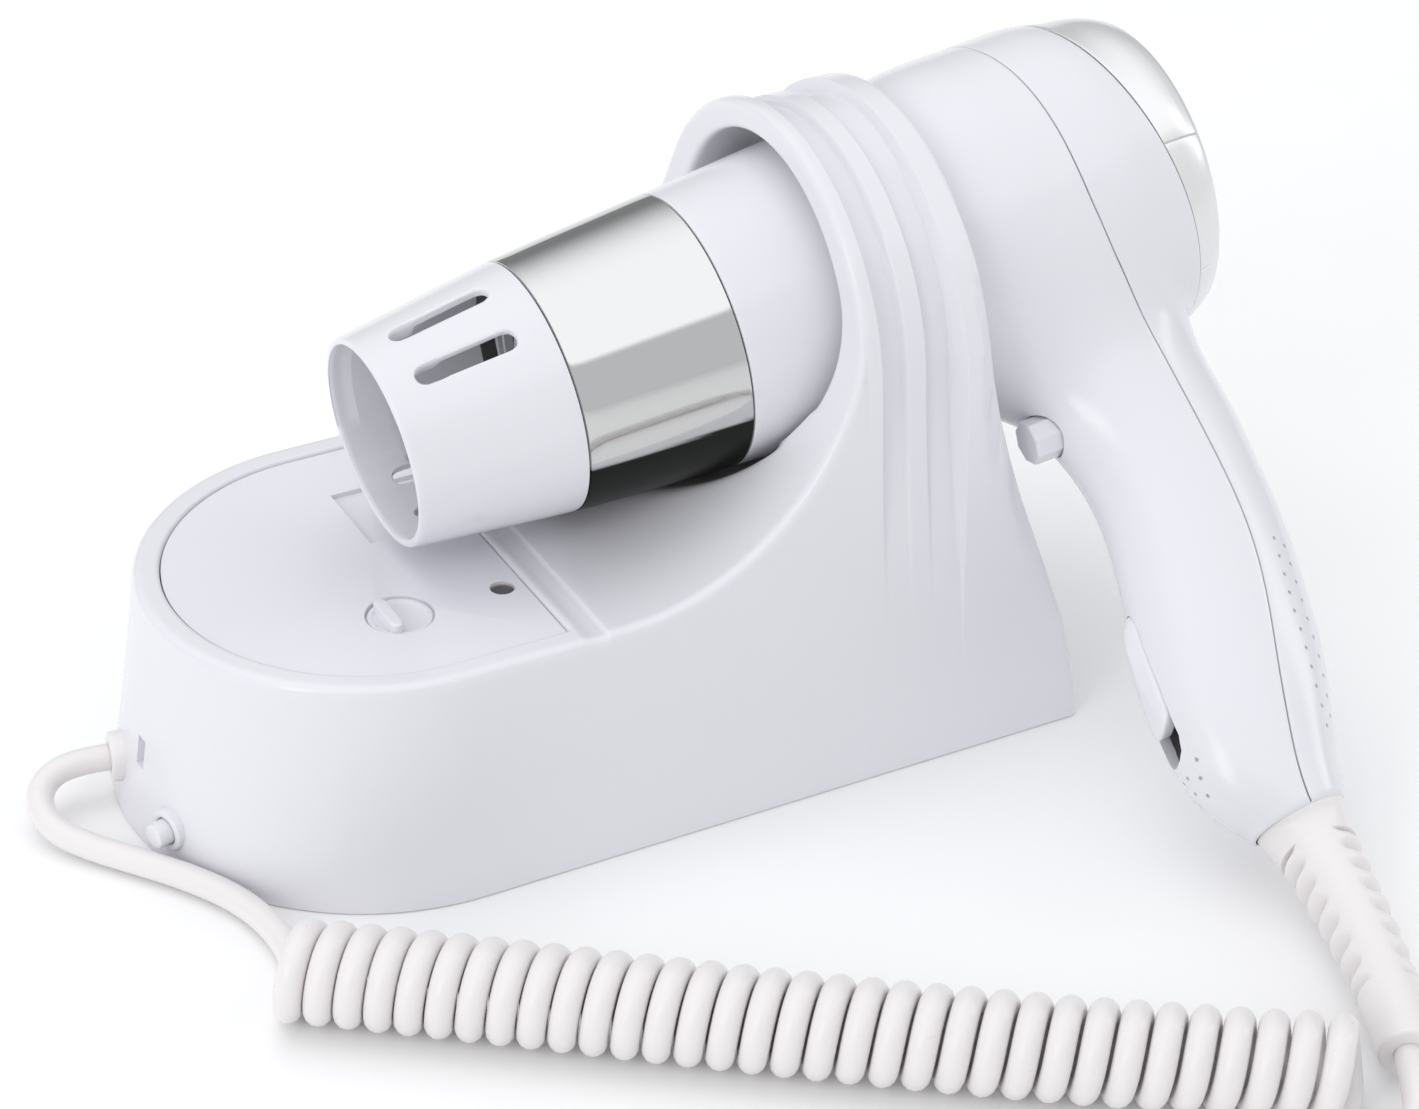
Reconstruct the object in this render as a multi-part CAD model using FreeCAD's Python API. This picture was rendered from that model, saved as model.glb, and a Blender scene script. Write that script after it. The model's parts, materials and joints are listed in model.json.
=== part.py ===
import FreeCAD, Part
import math
import os

# Wall-mounted hair dryer resting in its holder, with a curled cord.
# Millimetres. The holder lies on its wall face at Z = 0, its round end towards -X,
# and the dryer sits in the ring with its handle turned down towards -Y.
# Sizes along X are measured from the round end's tip. The saved parts are moved so that
# the origin is the middle of the four wall-screw holes, on the wall face.

V = FreeCAD.Vector
X_AXIS = V(1, 0, 0)
Y_AXIS = V(0, 1, 0)
Z_AXIS = V(0, 0, 1)

# ---------------------------------------------------------------- holder sizes
FOOT_HALF_WIDTH = 56.0        # half width on the wall, also the round end's radius
WAIST_HALF_WIDTH = 49.4       # half width part way up the flared wall
WAIST_HEIGHT = 44.0
SHOULDER_HALF_WIDTH = 45.5    # half width where the ring's arch begins
SHOULDER_HEIGHT = 88.0
HOLDER_LENGTH = 198.0
HOLDER_WALL = 3.0
PANEL_HEIGHT = 50.0           # top face of the round end
RING_CAVITY_TOP = 68.0        # above this the ring is solid plastic

CRADLE_X = 91.0               # where the flat top turns up towards the ring
CRADLE_RADIUS = 57.0
RING_REAR_X = 176.5
RING_HOLE_RADIUS = 35.5
RING_HOLE_HEIGHT = 89.4
RING_FLARE_START = 158.0      # the hole widens towards the rear from here
RING_FLARE_RADIUS = 37.4
PAD_START = 106.0             # the two rests in the hole, degrees from the top
PAD_END = 128.0
PAD_RISE = 2.0
PAD_LENGTH = 22.0

BAND_START_X = 152.0          # relief between the ring's two flanges
RIDGE_START_X = 158.0
RIDGE_END_X = 163.0
BAND_END_X = 169.5
BAND_DEPTH = 3.0
RIDGE_DEPTH = 1.4
BAND_FOOT = 46.0              # height at which the relief has faded out
REAR_FLANGE_RADIUS = 49.6
REAR_FLANGE_HEIGHT = 80.0
REAR_FLANGE_FOOT = 30.0

# ---------------------------------------------------------------- cover plate
RIM_WIDTH = 5.6               # rim left round the cover plate
PLATE_END_X = 81.0
PLATE_THICKNESS = 1.6
PLATE_LEDGE = 3.0
PLATE_END_LEDGE = 1.0         # ledge at the plate's straight end
PLATE_CLEARANCE = 0.25
STEP_X = 87.0                 # low step across the top before the cradle
STEP_WIDTH = 1.2
STEP_DEPTH = 0.6
SELECTOR_X = 53.3
SELECTOR_Y = -21.8
SELECTOR_RADIUS = 6.9
SELECTOR_BAR_WIDTH = 2.6
SELECTOR_BAR_RISE = 1.6
SELECTOR_SINK = 1.2
SELECTOR_STEM_RADIUS = 2.5
SELECTOR_STEM_GAP = 2.0       # between the stem's end and the board
SELECTOR_DISC = 1.0
SELECTOR_SWITCH = 13.0
RUNNING_FIT = 0.06            # radial play between a shaft and its hole
TURN_CLEARANCE = 0.3          # play round a piece that turns or slides
LAMP_X = 76.2
LAMP_Y = -22.2
LAMP_RADIUS = 2.6
LAMP_SINK = 0.4
LAMP_DOME_RADIUS = 4.4
LAMP_DOME_HEIGHT = 1.4
SOCKET_X = 69.5
SOCKET_Y = 16.0
SOCKET_LENGTH = 21.0
SOCKET_WIDTH = 21.0
SOCKET_SINK = 1.0
SOCKET_DEPTH = 17.0
SOCKET_BLOCK_LENGTH = 17.0
SOCKET_HOLE_RADIUS = 2.6
SOCKET_PITCH = 13.0
CONTACT_RADIUS = 2.0
CONTACT_LENGTH = 9.0
BOARD_TOP = 35.6
BOARD_THICKNESS = 1.6
POST_RADIUS = 2.2
BOARD_CENTRE_X = 58.6
BOARD_CENTRE_Y = -22.0
BOARD_LENGTH = 42.0
BOARD_WIDTH = 26.0

# ---------------------------------------------------------------- wall plate
WALL_PLATE_THICKNESS = 3.0
WALL_PLATE_CLEARANCE = 0.3
MOUNT_HOLE_RADIUS = 2.25
MOUNT_PITCH_X = 120.0
MOUNT_PITCH_Y = 60.0
MOUNT_CENTRE_X = 100.0
BOSS_RADIUS = 4.0
BOSS_SPARE = 6.0              # how much longer a post is than its screw
BOSS_SPREAD_X = 64.0
BOSS_SPREAD_Y = 41.0
BOSS_CENTRE_X = 122.0
SCREW_RADIUS = 1.5
SCREW_LENGTH = 12.0
SCREW_HEAD_RADIUS = 2.8
SCREW_HEAD_HEIGHT = 1.8

# ---------------------------------------------------------------- round end fittings
GLAND_TURN = 12.0             # degrees round the end wall towards +Y
GLAND_HEIGHT = 9.5
GLAND_FLANGE_RADIUS = 5.4
GLAND_FLANGE = 2.4
GLAND_NECK_RADIUS = 4.2
GLAND_NECK = 7.0
GLAND_SINK = 0.4              # depth of the flange's seat in the curved wall
BUTTON_TURN = -16.0
BUTTON_HEIGHT = 7.6
BUTTON_RADIUS = 2.7
BUTTON_PROUD = 4.6
BUTTON_TRAVEL = 3.0
BUTTON_COLLAR_RADIUS = 4.6
BUTTON_COLLAR_PROUD = 1.4
BUTTON_STEM = 12.0
BUTTON_HEAD_RADIUS = 3.6
BUTTON_HEAD_LENGTH = 2.0
BUTTON_HEAD_GAP = 3.7         # between the wall and the button's inner head
LATCH_TURN = -3.0
LATCH_HEIGHT = 17.5
LATCH_SIZE = (12.0, 2.2, 7.0)
SWITCH_BOX = (11.0, 9.0, 10.0)

# ---------------------------------------------------------------- inside the holder
CORE_SIZE = (40.0, 34.0, 30.0)
CORE_X = 103.0
CORE_WINDOW = 9.0
CORE_LIMB = 12.0
BOBBIN_LENGTH = 20.0
BRACKET_THICKNESS = 1.2
BRACKET_FOOT = 10.0
BRACKET_NARROWING = 8.0       # how much narrower the strap is than the core
BOBBIN_PLAY = 0.6
TERMINAL_SIZE = (26.0, 16.0, 12.0)
TERMINAL_X = 24.0
TERMINAL_Y = 14.0
TERMINAL_PITCH = 7.6
TERMINAL_WELL_RADIUS = 2.0
TERMINAL_WELL_DEPTH = 5.0
CLAMP_SIZE = (6.0, 16.0)

# ---------------------------------------------------------------- dryer placement
MOUTH_X = 58.0
MOUTH_Z = 76.85
BARREL_PITCH = 6.37           # degrees, tail end up
HANDLE_ROLL = 58.5            # degrees from straight down towards -Y

# ---------------------------------------------------------------- dryer barrel
NOZZLE_END = 36.0
CHROME_END = 72.5
SEAM_TOP = 149.0              # housing seam on the side away from the handle
SEAM_TOP_HEIGHT = 45.0
SEAM_MIDDLE = 151.6           # the seam where it passes the barrel's middle
SEAM_MIDDLE_HEIGHT = 8.0
SEAM_RUN_OUT = 12.0           # how far the seam runs on past the handle's end
CUT_HALF_SPAN = 60.0          # half size of a cutter that takes in the whole dryer
CUT_FRONT_X = -20.0           # in front of every piece of the dryer
CUT_REAR_X = 240.0            # behind every piece of the dryer
CAP_START = 172.0
CAP_SLANT = 0.171             # the cap's edge leans back towards the handle
CAP_END = 184.5
MOUTH_RADIUS = 22.6
NOZZLE_END_RADIUS = 27.3
CHROME_END_RADIUS = 30.1
THROAT_RADIUS = 33.6
BODY_RADIUS = 38.4
CAP_RADIUS = 36.9
CAP_END_RADIUS = 33.9
BARREL_PROFILE = (
    (0.0, MOUTH_RADIUS),
    (18.0, 25.0),
    (NOZZLE_END, NOZZLE_END_RADIUS),
    (54.0, 28.8),
    (CHROME_END, CHROME_END_RADIUS),
    (97.0, 32.0),
    (113.0, THROAT_RADIUS),
    (122.0, 35.4),
    (131.0, 37.4),
    (145.0, 38.2),
    (157.0, BODY_RADIUS),
    (166.0, 38.1),
    (CAP_START, CAP_RADIUS),
    (179.0, 35.9),
    (CAP_END, CAP_END_RADIUS),
)
HOUSING_WALL = 2.2
NOZZLE_WALL = 1.8
CHROME_THICKNESS = 1.0
SEAM_GAP = 0.2
FITTING_PLAY = 0.1            # between pieces that are pushed into one another
PRESS_PLAY = 0.05             # between pieces that are pressed together
NOZZLE_SPIGOT = 7.0
SPIGOT_WALL = 1.4
SPIGOT_WEB = 2.0              # web between the nozzle and its spigot
MOUTH_BORE_DEPTH = 12.0
SLOT_LENGTH = 22.0
SLOT_WIDTH = 4.2
SLOT_START = 7.0
SLOT_ANGLES = (60.0, 90.0, 240.0, 270.0)   # from the side away from the handle
MOUTH_STEP_ANGLE = 104.0      # arc of the shallow step inside the mouth
MOUTH_STEP_LENGTH = 4.5
MOUTH_STEP_DEPTH = 0.5

# ---------------------------------------------------------------- dryer handle
# (distance from the barrel axis, centre along the barrel, half depth, half width)
HANDLE_END = 148.5
HANDLE_END_RADIUS = 10.4
HANDLE_SECTIONS = (
    (20.0, 150.5, 30.0, 25.0),
    (34.0, 152.0, 25.6, 20.0),
    (46.0, 153.3, 21.6, 16.4),
    (60.0, 153.5, 19.0, 14.6),
    (89.0, 150.3, 17.7, 13.8),
    (119.0, 143.2, 17.2, 13.4),
    (136.0, 139.8, 14.4, 12.0),
    (HANDLE_END, 140.0, HANDLE_END_RADIUS, HANDLE_END_RADIUS),
)
KEY_T = 51.0                  # push button, distance from the barrel axis
KEY_RADIUS = 4.9
KEY_SIDES = 8
KEY_PROUD = 4.6
KEY_TRAVEL = 2.4
KEY_BODY = 9.0
KEY_FLANGE = 1.2
SLIDER_START = 94.0
SLIDER_END = 121.0
SLIDER_TRAVEL = 6.0
SLIDER_END_PLAY = 1.0
SLIDER_CUT_DEPTH = 12.0
SLIDER_HALF_WIDTH = 4.6
SLIDER_THICKNESS = 3.0
SLIDER_PROUD = 0.8
SLIDER_NECK = 5.0
SLIDER_NECK_SIZE = (3.0, 6.0)
THUMB_NOTCH_RADIUS = 2.6      # the thumb notch near the slide switch's lower end
THUMB_NOTCH_INSET = 3.5
THUMB_NOTCH_OUT = 1.8
SWITCH_CASE = (9.0, 12.0, 26.0)
SWITCH_CASE_GAP = 2.4         # behind the thumb piece's neck
MICRO_SWITCH = (7.0, 10.0, 12.0)
SWITCH_PLATE = (1.6, 25.0, 12.0)
SWITCH_GAP = 0.4              # what a switch's own plunger spans
HANDLE_SCREWS_T = (76.0, 134.0)
HANDLE_SCREW_LENGTH = 16.0
HANDLE_SCREW_SINK = 3.0
HANDLE_POST_RADIUS = 3.4
HANDLE_CLAMP_GAP = 1.2        # between the slide switch's case and the cord's clamp
HANDLE_CLAMP_SHIFT = 5.0
HANDLE_CLAMP = (3.0, 16.0, 5.0)

# ---------------------------------------------------------------- blower and heater
SHAFT_RADIUS = 1.15
SHAFT_START = 113.0
SHAFT_END = 164.5
MOTOR_RADIUS = 14.2
MOTOR_START = 118.0
MOTOR_END = 149.0
SHAFT_ROOM = 0.5              # free space round the shaft inside the motor
BUSH_RADIUS = 4.0
BUSH_LENGTH = 3.0
RUBBER_THICKNESS = 0.9
RUBBER_START = 8.0            # bare lengths of the can before and behind the rubber
RUBBER_END = 4.0
HUB_INSET = 6.0
VANE_BITE = 0.4               # how far a vane runs into hub and duct
HUB_WALL = 1.8
DUCT_RADIUS = 34.2
DUCT_WALL = 1.8
DUCT_START = 133.0
DUCT_END = 165.0
VANE_COUNT = 6
VANE_THICKNESS = 1.4
VANE_END = 147.0
FAN_START = 152.8
FAN_END = 163.2
FAN_HUB_RADIUS = 9.0
FAN_RADIUS = 31.2
FAN_BLADES = 9
FAN_BLADE_THICKNESS = 1.2
FAN_BLADE_PITCH = 38.0
FAN_BLADE_BITE = 1.0
HEATER_START = 48.0
HEATER_END = 112.0
SLEEVE_RADIUS = 24.0
SLEEVE_THICKNESS = 0.5
MICA_THICKNESS = 0.8
COIL_RADIUS = 18.5
COIL_WIRE = 1.4
COIL_COUNT = 6
COIL_START = 58.0
COIL_PITCH = 9.0
OUTLET_S = 38.5
OUTLET_THICKNESS = 2.0
OUTLET_RINGS = (6.0, 12.0, 18.0)
OUTLET_BAR = 1.2
CUTOUT_SIZE = (9.0, 4.0, 7.0)
CUTOUT_INSET = 10.0
CUTOUT_SHIFT = 6.5
GRILLE_RADIUS = 31.0
GRILLE_THICKNESS = 2.0
GRILLE_SINK = 1.2
GRILLE_RINGS = (6.5, 11.5, 16.5, 21.5, 26.5)
GRILLE_RING_WIDTH = 2.2
GRILLE_SPOKES = 12
GRILLE_SPOKE = 1.2
GRILLE_RIM = 2.0
GRILLE_HUB = 3.0
FILTER_THICKNESS = 0.6
CAP_SPIGOT = 5.0

# ---------------------------------------------------------------- cord
CORD_RADIUS = 2.9
COIL_CORD_RADIUS = 10.5       # outside radius of the curled stretch
RELIEF_ROOT_RADIUS = 9.4
RELIEF_TIP_RADIUS = 5.9
RELIEF_SECTIONS = 9
RELIEF_TAPER = 0.75
RELIEF_RIBS = 9
RIBS_FIRST = 0.24             # shares of the centre line with the first and last rib
RIBS_LAST = 0.86
RELIEF_RIB_RISE = 0.7
RELIEF_RIB_THICKNESS = 2.4
RELIEF_HEAD_RADIUS = 8.0
RELIEF_HEAD_LENGTH = 8.0
RELIEF_LEAD = 14.0            # how far the relief keeps the handle's direction
RELIEF_TIP = V(187.5, -189.5, 7.8)
RELIEF_HEADING = V(-0.45, -0.89, -0.06)
RELIEF_EASE = 22.0
LEAD_OUT = 8.0                # how far the lead runs square to the gland
ROUTE_ROUNDING = 0.45         # share of a route's straight run that its arc takes up
WALL_LEAD_ROUTE = (
    (-14.2, 12.0, 7.9),
    (-17.4, 6.4, 5.6),
    (-16.2, -0.8, 3.9),
    (-11.2, -8.0, 3.0),
    (-4.6, -16.4, 2.95),
    (3.0, -26.6, 3.0),
    (9.2, -38.0, 2.95),
    (11.8, -50.0, 3.0),
    (11.4, -61.4, 3.05),
    (5.9, -71.8, 3.1),
)
COIL_ROUTE = (
    (3.5, -70.4, 10.6),
    (36.5, -94.6, 10.6),
    (71.0, -121.0, 10.6),
    (106.5, -147.0, 10.6),
    (141.5, -171.2, 10.6),
    (176.0, -193.2, 10.6),
)
TIP_OUT = 8.0                 # how far the lead keeps the strain relief's direction
TIP_LEAD_ROUTE = (
    (180.4, -203.4, 5.6),
    (174.4, -206.4, 4.1),
    (167.8, -203.9, 3.2),
    (166.9, -197.0, 3.05),
    (172.4, -191.6, 3.1),
)


# ================================================================ small helpers
def save(name, shape):
    """Write one node about the origin and say what it holds."""
    shape.translate(V(-MOUNT_CENTRE_X, 0, 0))
    shape.exportStep("parts/" + name + ".step")
    print(name, "solids", len(shape.Solids), "volume", round(shape.Volume, 1), shape.isValid())


def cylinder(radius, length, base, axis):
    return Part.makeCylinder(radius, length, base, axis)


def tube(outer, inner, length, base, axis):
    return cylinder(outer, length, base, axis).cut(cylinder(inner, length, base, axis))


def box_at(centre, size):
    """A box of the given size about its centre."""
    corner = centre - V(size[0] / 2, size[1] / 2, size[2] / 2)
    return Part.makeBox(size[0], size[1], size[2], corner)


def face_of(points):
    """A flat face from a closed run of corner points."""
    return Part.Face(Part.makePolygon(list(points) + [points[0]]))


def fused(shapes):
    """One body out of several that touch."""
    result = shapes[0]
    if len(shapes) > 1:
        result = shapes[0].fuse(shapes[1:])
    return result.removeSplitter()


def dryer_placement():
    """Where the dryer's own frame lies: X along the barrel, handle towards -Z."""
    roll = FreeCAD.Rotation(X_AXIS, -HANDLE_ROLL)
    pitch = FreeCAD.Rotation(Y_AXIS, -BARREL_PITCH)
    return FreeCAD.Placement(V(MOUTH_X, 0, MOUTH_Z), pitch.multiply(roll))


DRYER = dryer_placement()


def in_dryer(shape):
    """Move a shape from the dryer's own frame to its place in the ring."""
    return shape.transformed(DRYER.toMatrix())


# ================================================================ holder outline
def wall_circle():
    """The circle of the flared side wall, in a plane across the holder."""
    foot = V(0, FOOT_HALF_WIDTH, 0)
    waist = V(0, WAIST_HALF_WIDTH, WAIST_HEIGHT)
    shoulder = V(0, SHOULDER_HALF_WIDTH, SHOULDER_HEIGHT)
    return Part.Circle(foot, waist, shoulder)


WALL_CIRCLE = wall_circle()


def wall_half_width(height, inset):
    """Half width of the flared wall at a height, moved in by an inset."""
    radius = WALL_CIRCLE.Radius + inset
    rise = height - WALL_CIRCLE.Center.z
    return WALL_CIRCLE.Center.y - math.sqrt(radius * radius - rise * rise)


def arch_circle():
    """Height and radius of the arch that meets the side walls smoothly."""
    rise = SHOULDER_HEIGHT - WALL_CIRCLE.Center.z
    reach = WALL_CIRCLE.Center.y - SHOULDER_HALF_WIDTH
    height = SHOULDER_HEIGHT + rise * SHOULDER_HALF_WIDTH / reach
    radius = math.hypot(SHOULDER_HALF_WIDTH, SHOULDER_HEIGHT - height)
    return height, radius


ARCH_HEIGHT, ARCH_RADIUS = arch_circle()


def shoulder_point(inset):
    """Where side wall and arch meet, moved in by an inset."""
    share = (ARCH_RADIUS - inset) / ARCH_RADIUS
    return SHOULDER_HALF_WIDTH * share, ARCH_HEIGHT + (SHOULDER_HEIGHT - ARCH_HEIGHT) * share


def wall_arc(x, inset, bottom, side):
    """The flared wall's arc at one X, from the bottom up to the shoulder."""
    width, height = shoulder_point(inset)
    middle = (bottom + height) / 2
    low = V(x, side * wall_half_width(bottom, inset), bottom)
    mid = V(x, side * wall_half_width(middle, inset), middle)
    return Part.Arc(low, mid, V(x, side * width, height)).toShape()


def arch_section(x, inset, bottom):
    """Face across the holder: flared walls under a round arch."""
    width, height = shoulder_point(inset)
    top = V(x, 0, ARCH_HEIGHT + ARCH_RADIUS - inset)
    arch = Part.Arc(V(x, width, height), top, V(x, -width, height)).toShape()
    foot = wall_half_width(bottom, inset)
    floor = Part.makeLine(V(x, -foot, bottom), V(x, foot, bottom))
    edges = [floor, wall_arc(x, inset, bottom, 1), arch, wall_arc(x, inset, bottom, -1)]
    return Part.Face(Part.Wire(Part.__sortEdges__(edges)))


def round_end(inset, bottom):
    """The holder's round end, turned about its upright axis."""
    width, height = shoulder_point(inset)
    foot = wall_half_width(bottom, inset)
    edges = [
        Part.makeLine(V(0, 0, bottom), V(0, foot, bottom)),
        wall_arc(0, inset, bottom, 1),
        Part.makeLine(V(0, width, height), V(0, 0, height)),
        Part.makeLine(V(0, 0, height), V(0, 0, bottom)),
    ]
    face = Part.Face(Part.Wire(Part.__sortEdges__(edges)))
    turned = face.revolve(V(0, 0, 0), Z_AXIS, 360)
    turned.translate(V(FOOT_HALF_WIDTH, 0, 0))
    return turned


def side_profile(inset, bottom):
    """Face along the holder: flat top, cradle arc, ring front and curved rear."""
    top = ARCH_HEIGHT + ARCH_RADIUS + 10
    centre_z = PANEL_HEIGHT + CRADLE_RADIUS
    radius = CRADLE_RADIUS + inset
    flat = PANEL_HEIGHT - inset
    diagonal = radius * math.sqrt(0.5)
    cradle_low = V(CRADLE_X, 0, flat)
    cradle_mid = V(CRADLE_X + diagonal, 0, centre_z - diagonal)
    cradle_high = V(CRADLE_X + radius, 0, centre_z)
    rear = Part.BSplineCurve()
    rear.interpolate(rear_points(inset, bottom, top))
    start = V(-10, 0, bottom)
    edges = [
        Part.makeLine(start, V(-10, 0, flat)),
        Part.makeLine(V(-10, 0, flat), cradle_low),
        Part.Arc(cradle_low, cradle_mid, cradle_high).toShape(),
        Part.makeLine(cradle_high, V(CRADLE_X + radius, 0, top)),
        Part.makeLine(V(CRADLE_X + radius, 0, top), V(RING_REAR_X - inset, 0, top)),
        rear.toShape(),
        Part.makeLine(V(HOLDER_LENGTH - inset, 0, bottom), start),
    ]
    return Part.Face(Part.Wire(Part.__sortEdges__(edges)))


def rear_points(inset, bottom, top):
    """The holder's rear edge from the wall up to the ring."""
    depth = HOLDER_LENGTH - RING_REAR_X
    shape = ((20.0, 0.92), (44.0, 0.56), (66.0, 0.25), (86.0, 0.06), (104.0, 0.0))
    points = [V(HOLDER_LENGTH - inset, 0, bottom)]
    for height, share in shape:
        points.append(V(RING_REAR_X + depth * share - inset, 0, height))
    points.append(V(RING_REAR_X - inset, 0, top))
    return points


def casing(inset, bottom):
    """The holder's outer form, moved in on every side by an inset."""
    section = arch_section(FOOT_HALF_WIDTH, inset, bottom)
    long_part = section.extrude(V(HOLDER_LENGTH, 0, 0))
    blank = long_part.fuse(round_end(inset, bottom))
    profile = side_profile(inset, bottom)
    profile.translate(V(0, -2 * FOOT_HALF_WIDTH, 0))
    shape = blank.common(profile.extrude(V(0, 4 * FOOT_HALF_WIDTH, 0)))
    return shape.cut(ring_hole(inset))


def ring_hole(inset):
    """The round opening for the barrel, widened towards the rear."""
    base = V(0, 0, RING_HOLE_HEIGHT)
    hole = cylinder(RING_HOLE_RADIUS + inset, 2 * HOLDER_LENGTH, base, X_AXIS)
    narrow = RING_HOLE_RADIUS + inset
    wide = RING_FLARE_RADIUS + inset
    length = RING_REAR_X - RING_FLARE_START
    start = base + V(RING_FLARE_START, 0, 0)
    flare = Part.makeCone(narrow, wide, length, start, X_AXIS)
    return hole.fuse(flare)


def rear_flange():
    """The wider rim at the back of the ring."""
    foot = wall_half_width(REAR_FLANGE_FOOT, 0)
    left = V(BAND_END_X, -REAR_FLANGE_RADIUS, REAR_FLANGE_HEIGHT)
    right = V(BAND_END_X, REAR_FLANGE_RADIUS, REAR_FLANGE_HEIGHT)
    top = V(BAND_END_X, 0, REAR_FLANGE_HEIGHT + REAR_FLANGE_RADIUS)
    low_left = V(BAND_END_X, -foot, REAR_FLANGE_FOOT)
    low_right = V(BAND_END_X, foot, REAR_FLANGE_FOOT)
    edges = [
        Part.Arc(left, top, right).toShape(),
        Part.makeLine(right, low_right),
        Part.makeLine(low_right, low_left),
        Part.makeLine(low_left, left),
    ]
    face = Part.Face(Part.Wire(Part.__sortEdges__(edges)))
    plate = face.extrude(V(RING_REAR_X - BAND_END_X, 0, 0))
    return plate.cut(ring_hole(0))


def relief_cutter(start, end, depth):
    """What is cut away between two X places of the ring, fading out down the walls."""
    radius = ARCH_RADIUS - depth
    foot = wall_half_width(BAND_FOOT, 0)
    left = V(start, -radius, ARCH_HEIGHT)
    right = V(start, radius, ARCH_HEIGHT)
    top = V(start, 0, ARCH_HEIGHT + radius)
    low_left = V(start, -foot, BAND_FOOT)
    low_right = V(start, foot, BAND_FOOT)
    edges = [
        Part.Arc(left, top, right).toShape(),
        Part.makeLine(right, low_right),
        Part.makeLine(low_right, low_left),
        Part.makeLine(low_left, left),
    ]
    core = Part.Face(Part.Wire(Part.__sortEdges__(edges))).extrude(V(end - start, 0, 0))
    reach = 2 * FOOT_HALF_WIDTH
    corner = V(start, -reach, BAND_FOOT)
    return Part.makeBox(end - start, 2 * reach, 2 * reach, corner).cut(core)


def ring_pads():
    """Two low rests on the hole's wall that the barrel lies between."""
    inner = RING_HOLE_RADIUS - PAD_RISE
    start_x = CRADLE_X + CRADLE_RADIUS - PAD_LENGTH / 2
    base = V(start_x, 0, RING_HOLE_HEIGHT)
    pads = []
    for turn in (PAD_START, -PAD_END):
        sweep = PAD_END - PAD_START
        wedge = Part.makeCylinder(RING_HOLE_RADIUS + 1, PAD_LENGTH, base, X_AXIS, sweep)
        wedge.rotate(base, X_AXIS, turn)
        pads.append(wedge.cut(cylinder(inner, PAD_LENGTH, base, X_AXIS)))
    return pads


# ================================================================ holder features
def end_wall_frame(turn, height):
    """Point on the round end's wall and the outward direction there."""
    angle = math.radians(turn)
    outward = V(-math.cos(angle), math.sin(angle), 0)
    centre = V(FOOT_HALF_WIDTH, 0, height)
    return centre + outward * wall_half_width(height, 0), outward


def plate_outline(rim, end_x, bottom, top):
    """The cover plate's round-ended outline as a block between two heights."""
    radius = wall_half_width(PANEL_HEIGHT, 0) - rim
    centre = V(FOOT_HALF_WIDTH, 0, bottom)
    disc = cylinder(radius, top - bottom, centre, Z_AXIS)
    length = end_x - FOOT_HALF_WIDTH
    corner = V(FOOT_HALF_WIDTH, -radius, bottom)
    strip = Part.makeBox(length, 2 * radius, top - bottom, corner)
    front = Part.makeBox(FOOT_HALF_WIDTH, 4 * radius, top - bottom, V(0, -2 * radius, bottom))
    return disc.common(front).fuse(strip).removeSplitter()


def plate_recess():
    """The seat of the cover plate and the window under it."""
    floor = PANEL_HEIGHT - PLATE_THICKNESS
    seat = plate_outline(RIM_WIDTH, PLATE_END_X, floor, PANEL_HEIGHT + 5)
    low = PANEL_HEIGHT - 2 * HOLDER_WALL
    rim = RIM_WIDTH + PLATE_LEDGE
    window = plate_outline(rim, PLATE_END_X - PLATE_END_LEDGE, low, PANEL_HEIGHT + 1)
    return seat.fuse(window)


def top_step():
    """The shallow line across the top in front of the cradle."""
    width = 4 * FOOT_HALF_WIDTH
    corner = V(STEP_X, -width / 2, PANEL_HEIGHT - STEP_DEPTH)
    return Part.makeBox(STEP_WIDTH, width, 2, corner)


def latch_slot():
    """The small upright slot in the round end."""
    point = end_wall_frame(LATCH_TURN, LATCH_HEIGHT)[0]
    slot = box_at(V(0, 0, 0), LATCH_SIZE)
    slot.rotate(V(0, 0, 0), Z_AXIS, -LATCH_TURN)
    slot.translate(point)
    return slot


def boss_places():
    """Centres of the four posts that the wall plate is screwed to."""
    places = []
    for side_x in (-1, 1):
        for side_y in (-1, 1):
            x = BOSS_CENTRE_X + side_x * BOSS_SPREAD_X / 2
            places.append(V(x, side_y * BOSS_SPREAD_Y, 0))
    return places


def holder_bosses():
    """Screw posts that stand on the wall plate inside the holder's side walls."""
    posts = []
    length = SCREW_LENGTH + BOSS_SPARE
    for place in boss_places():
        base = place + V(0, 0, WALL_PLATE_THICKNESS)
        post = cylinder(BOSS_RADIUS, length, base, Z_AXIS)
        side = 1 if place.y > 0 else -1
        rib_y = place.y if side > 0 else -FOOT_HALF_WIDTH
        corner = V(place.x - HOLDER_WALL / 2, rib_y, WALL_PLATE_THICKNESS)
        rib = Part.makeBox(HOLDER_WALL, FOOT_HALF_WIDTH - BOSS_SPREAD_Y, length, corner)
        hole = cylinder(SCREW_RADIUS, length, base, Z_AXIS)
        posts.append(post.fuse(rib).cut(hole))
    return posts


def button_collar():
    """The raised ring round the round end's button."""
    point, outward = end_wall_frame(BUTTON_TURN, BUTTON_HEIGHT)
    base = point - outward * HOLDER_WALL
    return cylinder(BUTTON_COLLAR_RADIUS, HOLDER_WALL + BUTTON_COLLAR_PROUD, base, outward)


def end_wall_holes():
    """Holes through the round end for the cord gland, the button and the slot."""
    gland_point, gland_out = end_wall_frame(GLAND_TURN, GLAND_HEIGHT)
    button_point, button_out = end_wall_frame(BUTTON_TURN, BUTTON_HEIGHT)
    depth = 3 * HOLDER_WALL
    gland = cylinder(GLAND_NECK_RADIUS, 2 * depth, gland_point - gland_out * depth, gland_out)
    radius = BUTTON_RADIUS + TURN_CLEARANCE
    button = cylinder(radius, 2 * depth, button_point - button_out * depth, button_out)
    return gland.fuse([button, latch_slot()])


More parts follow.
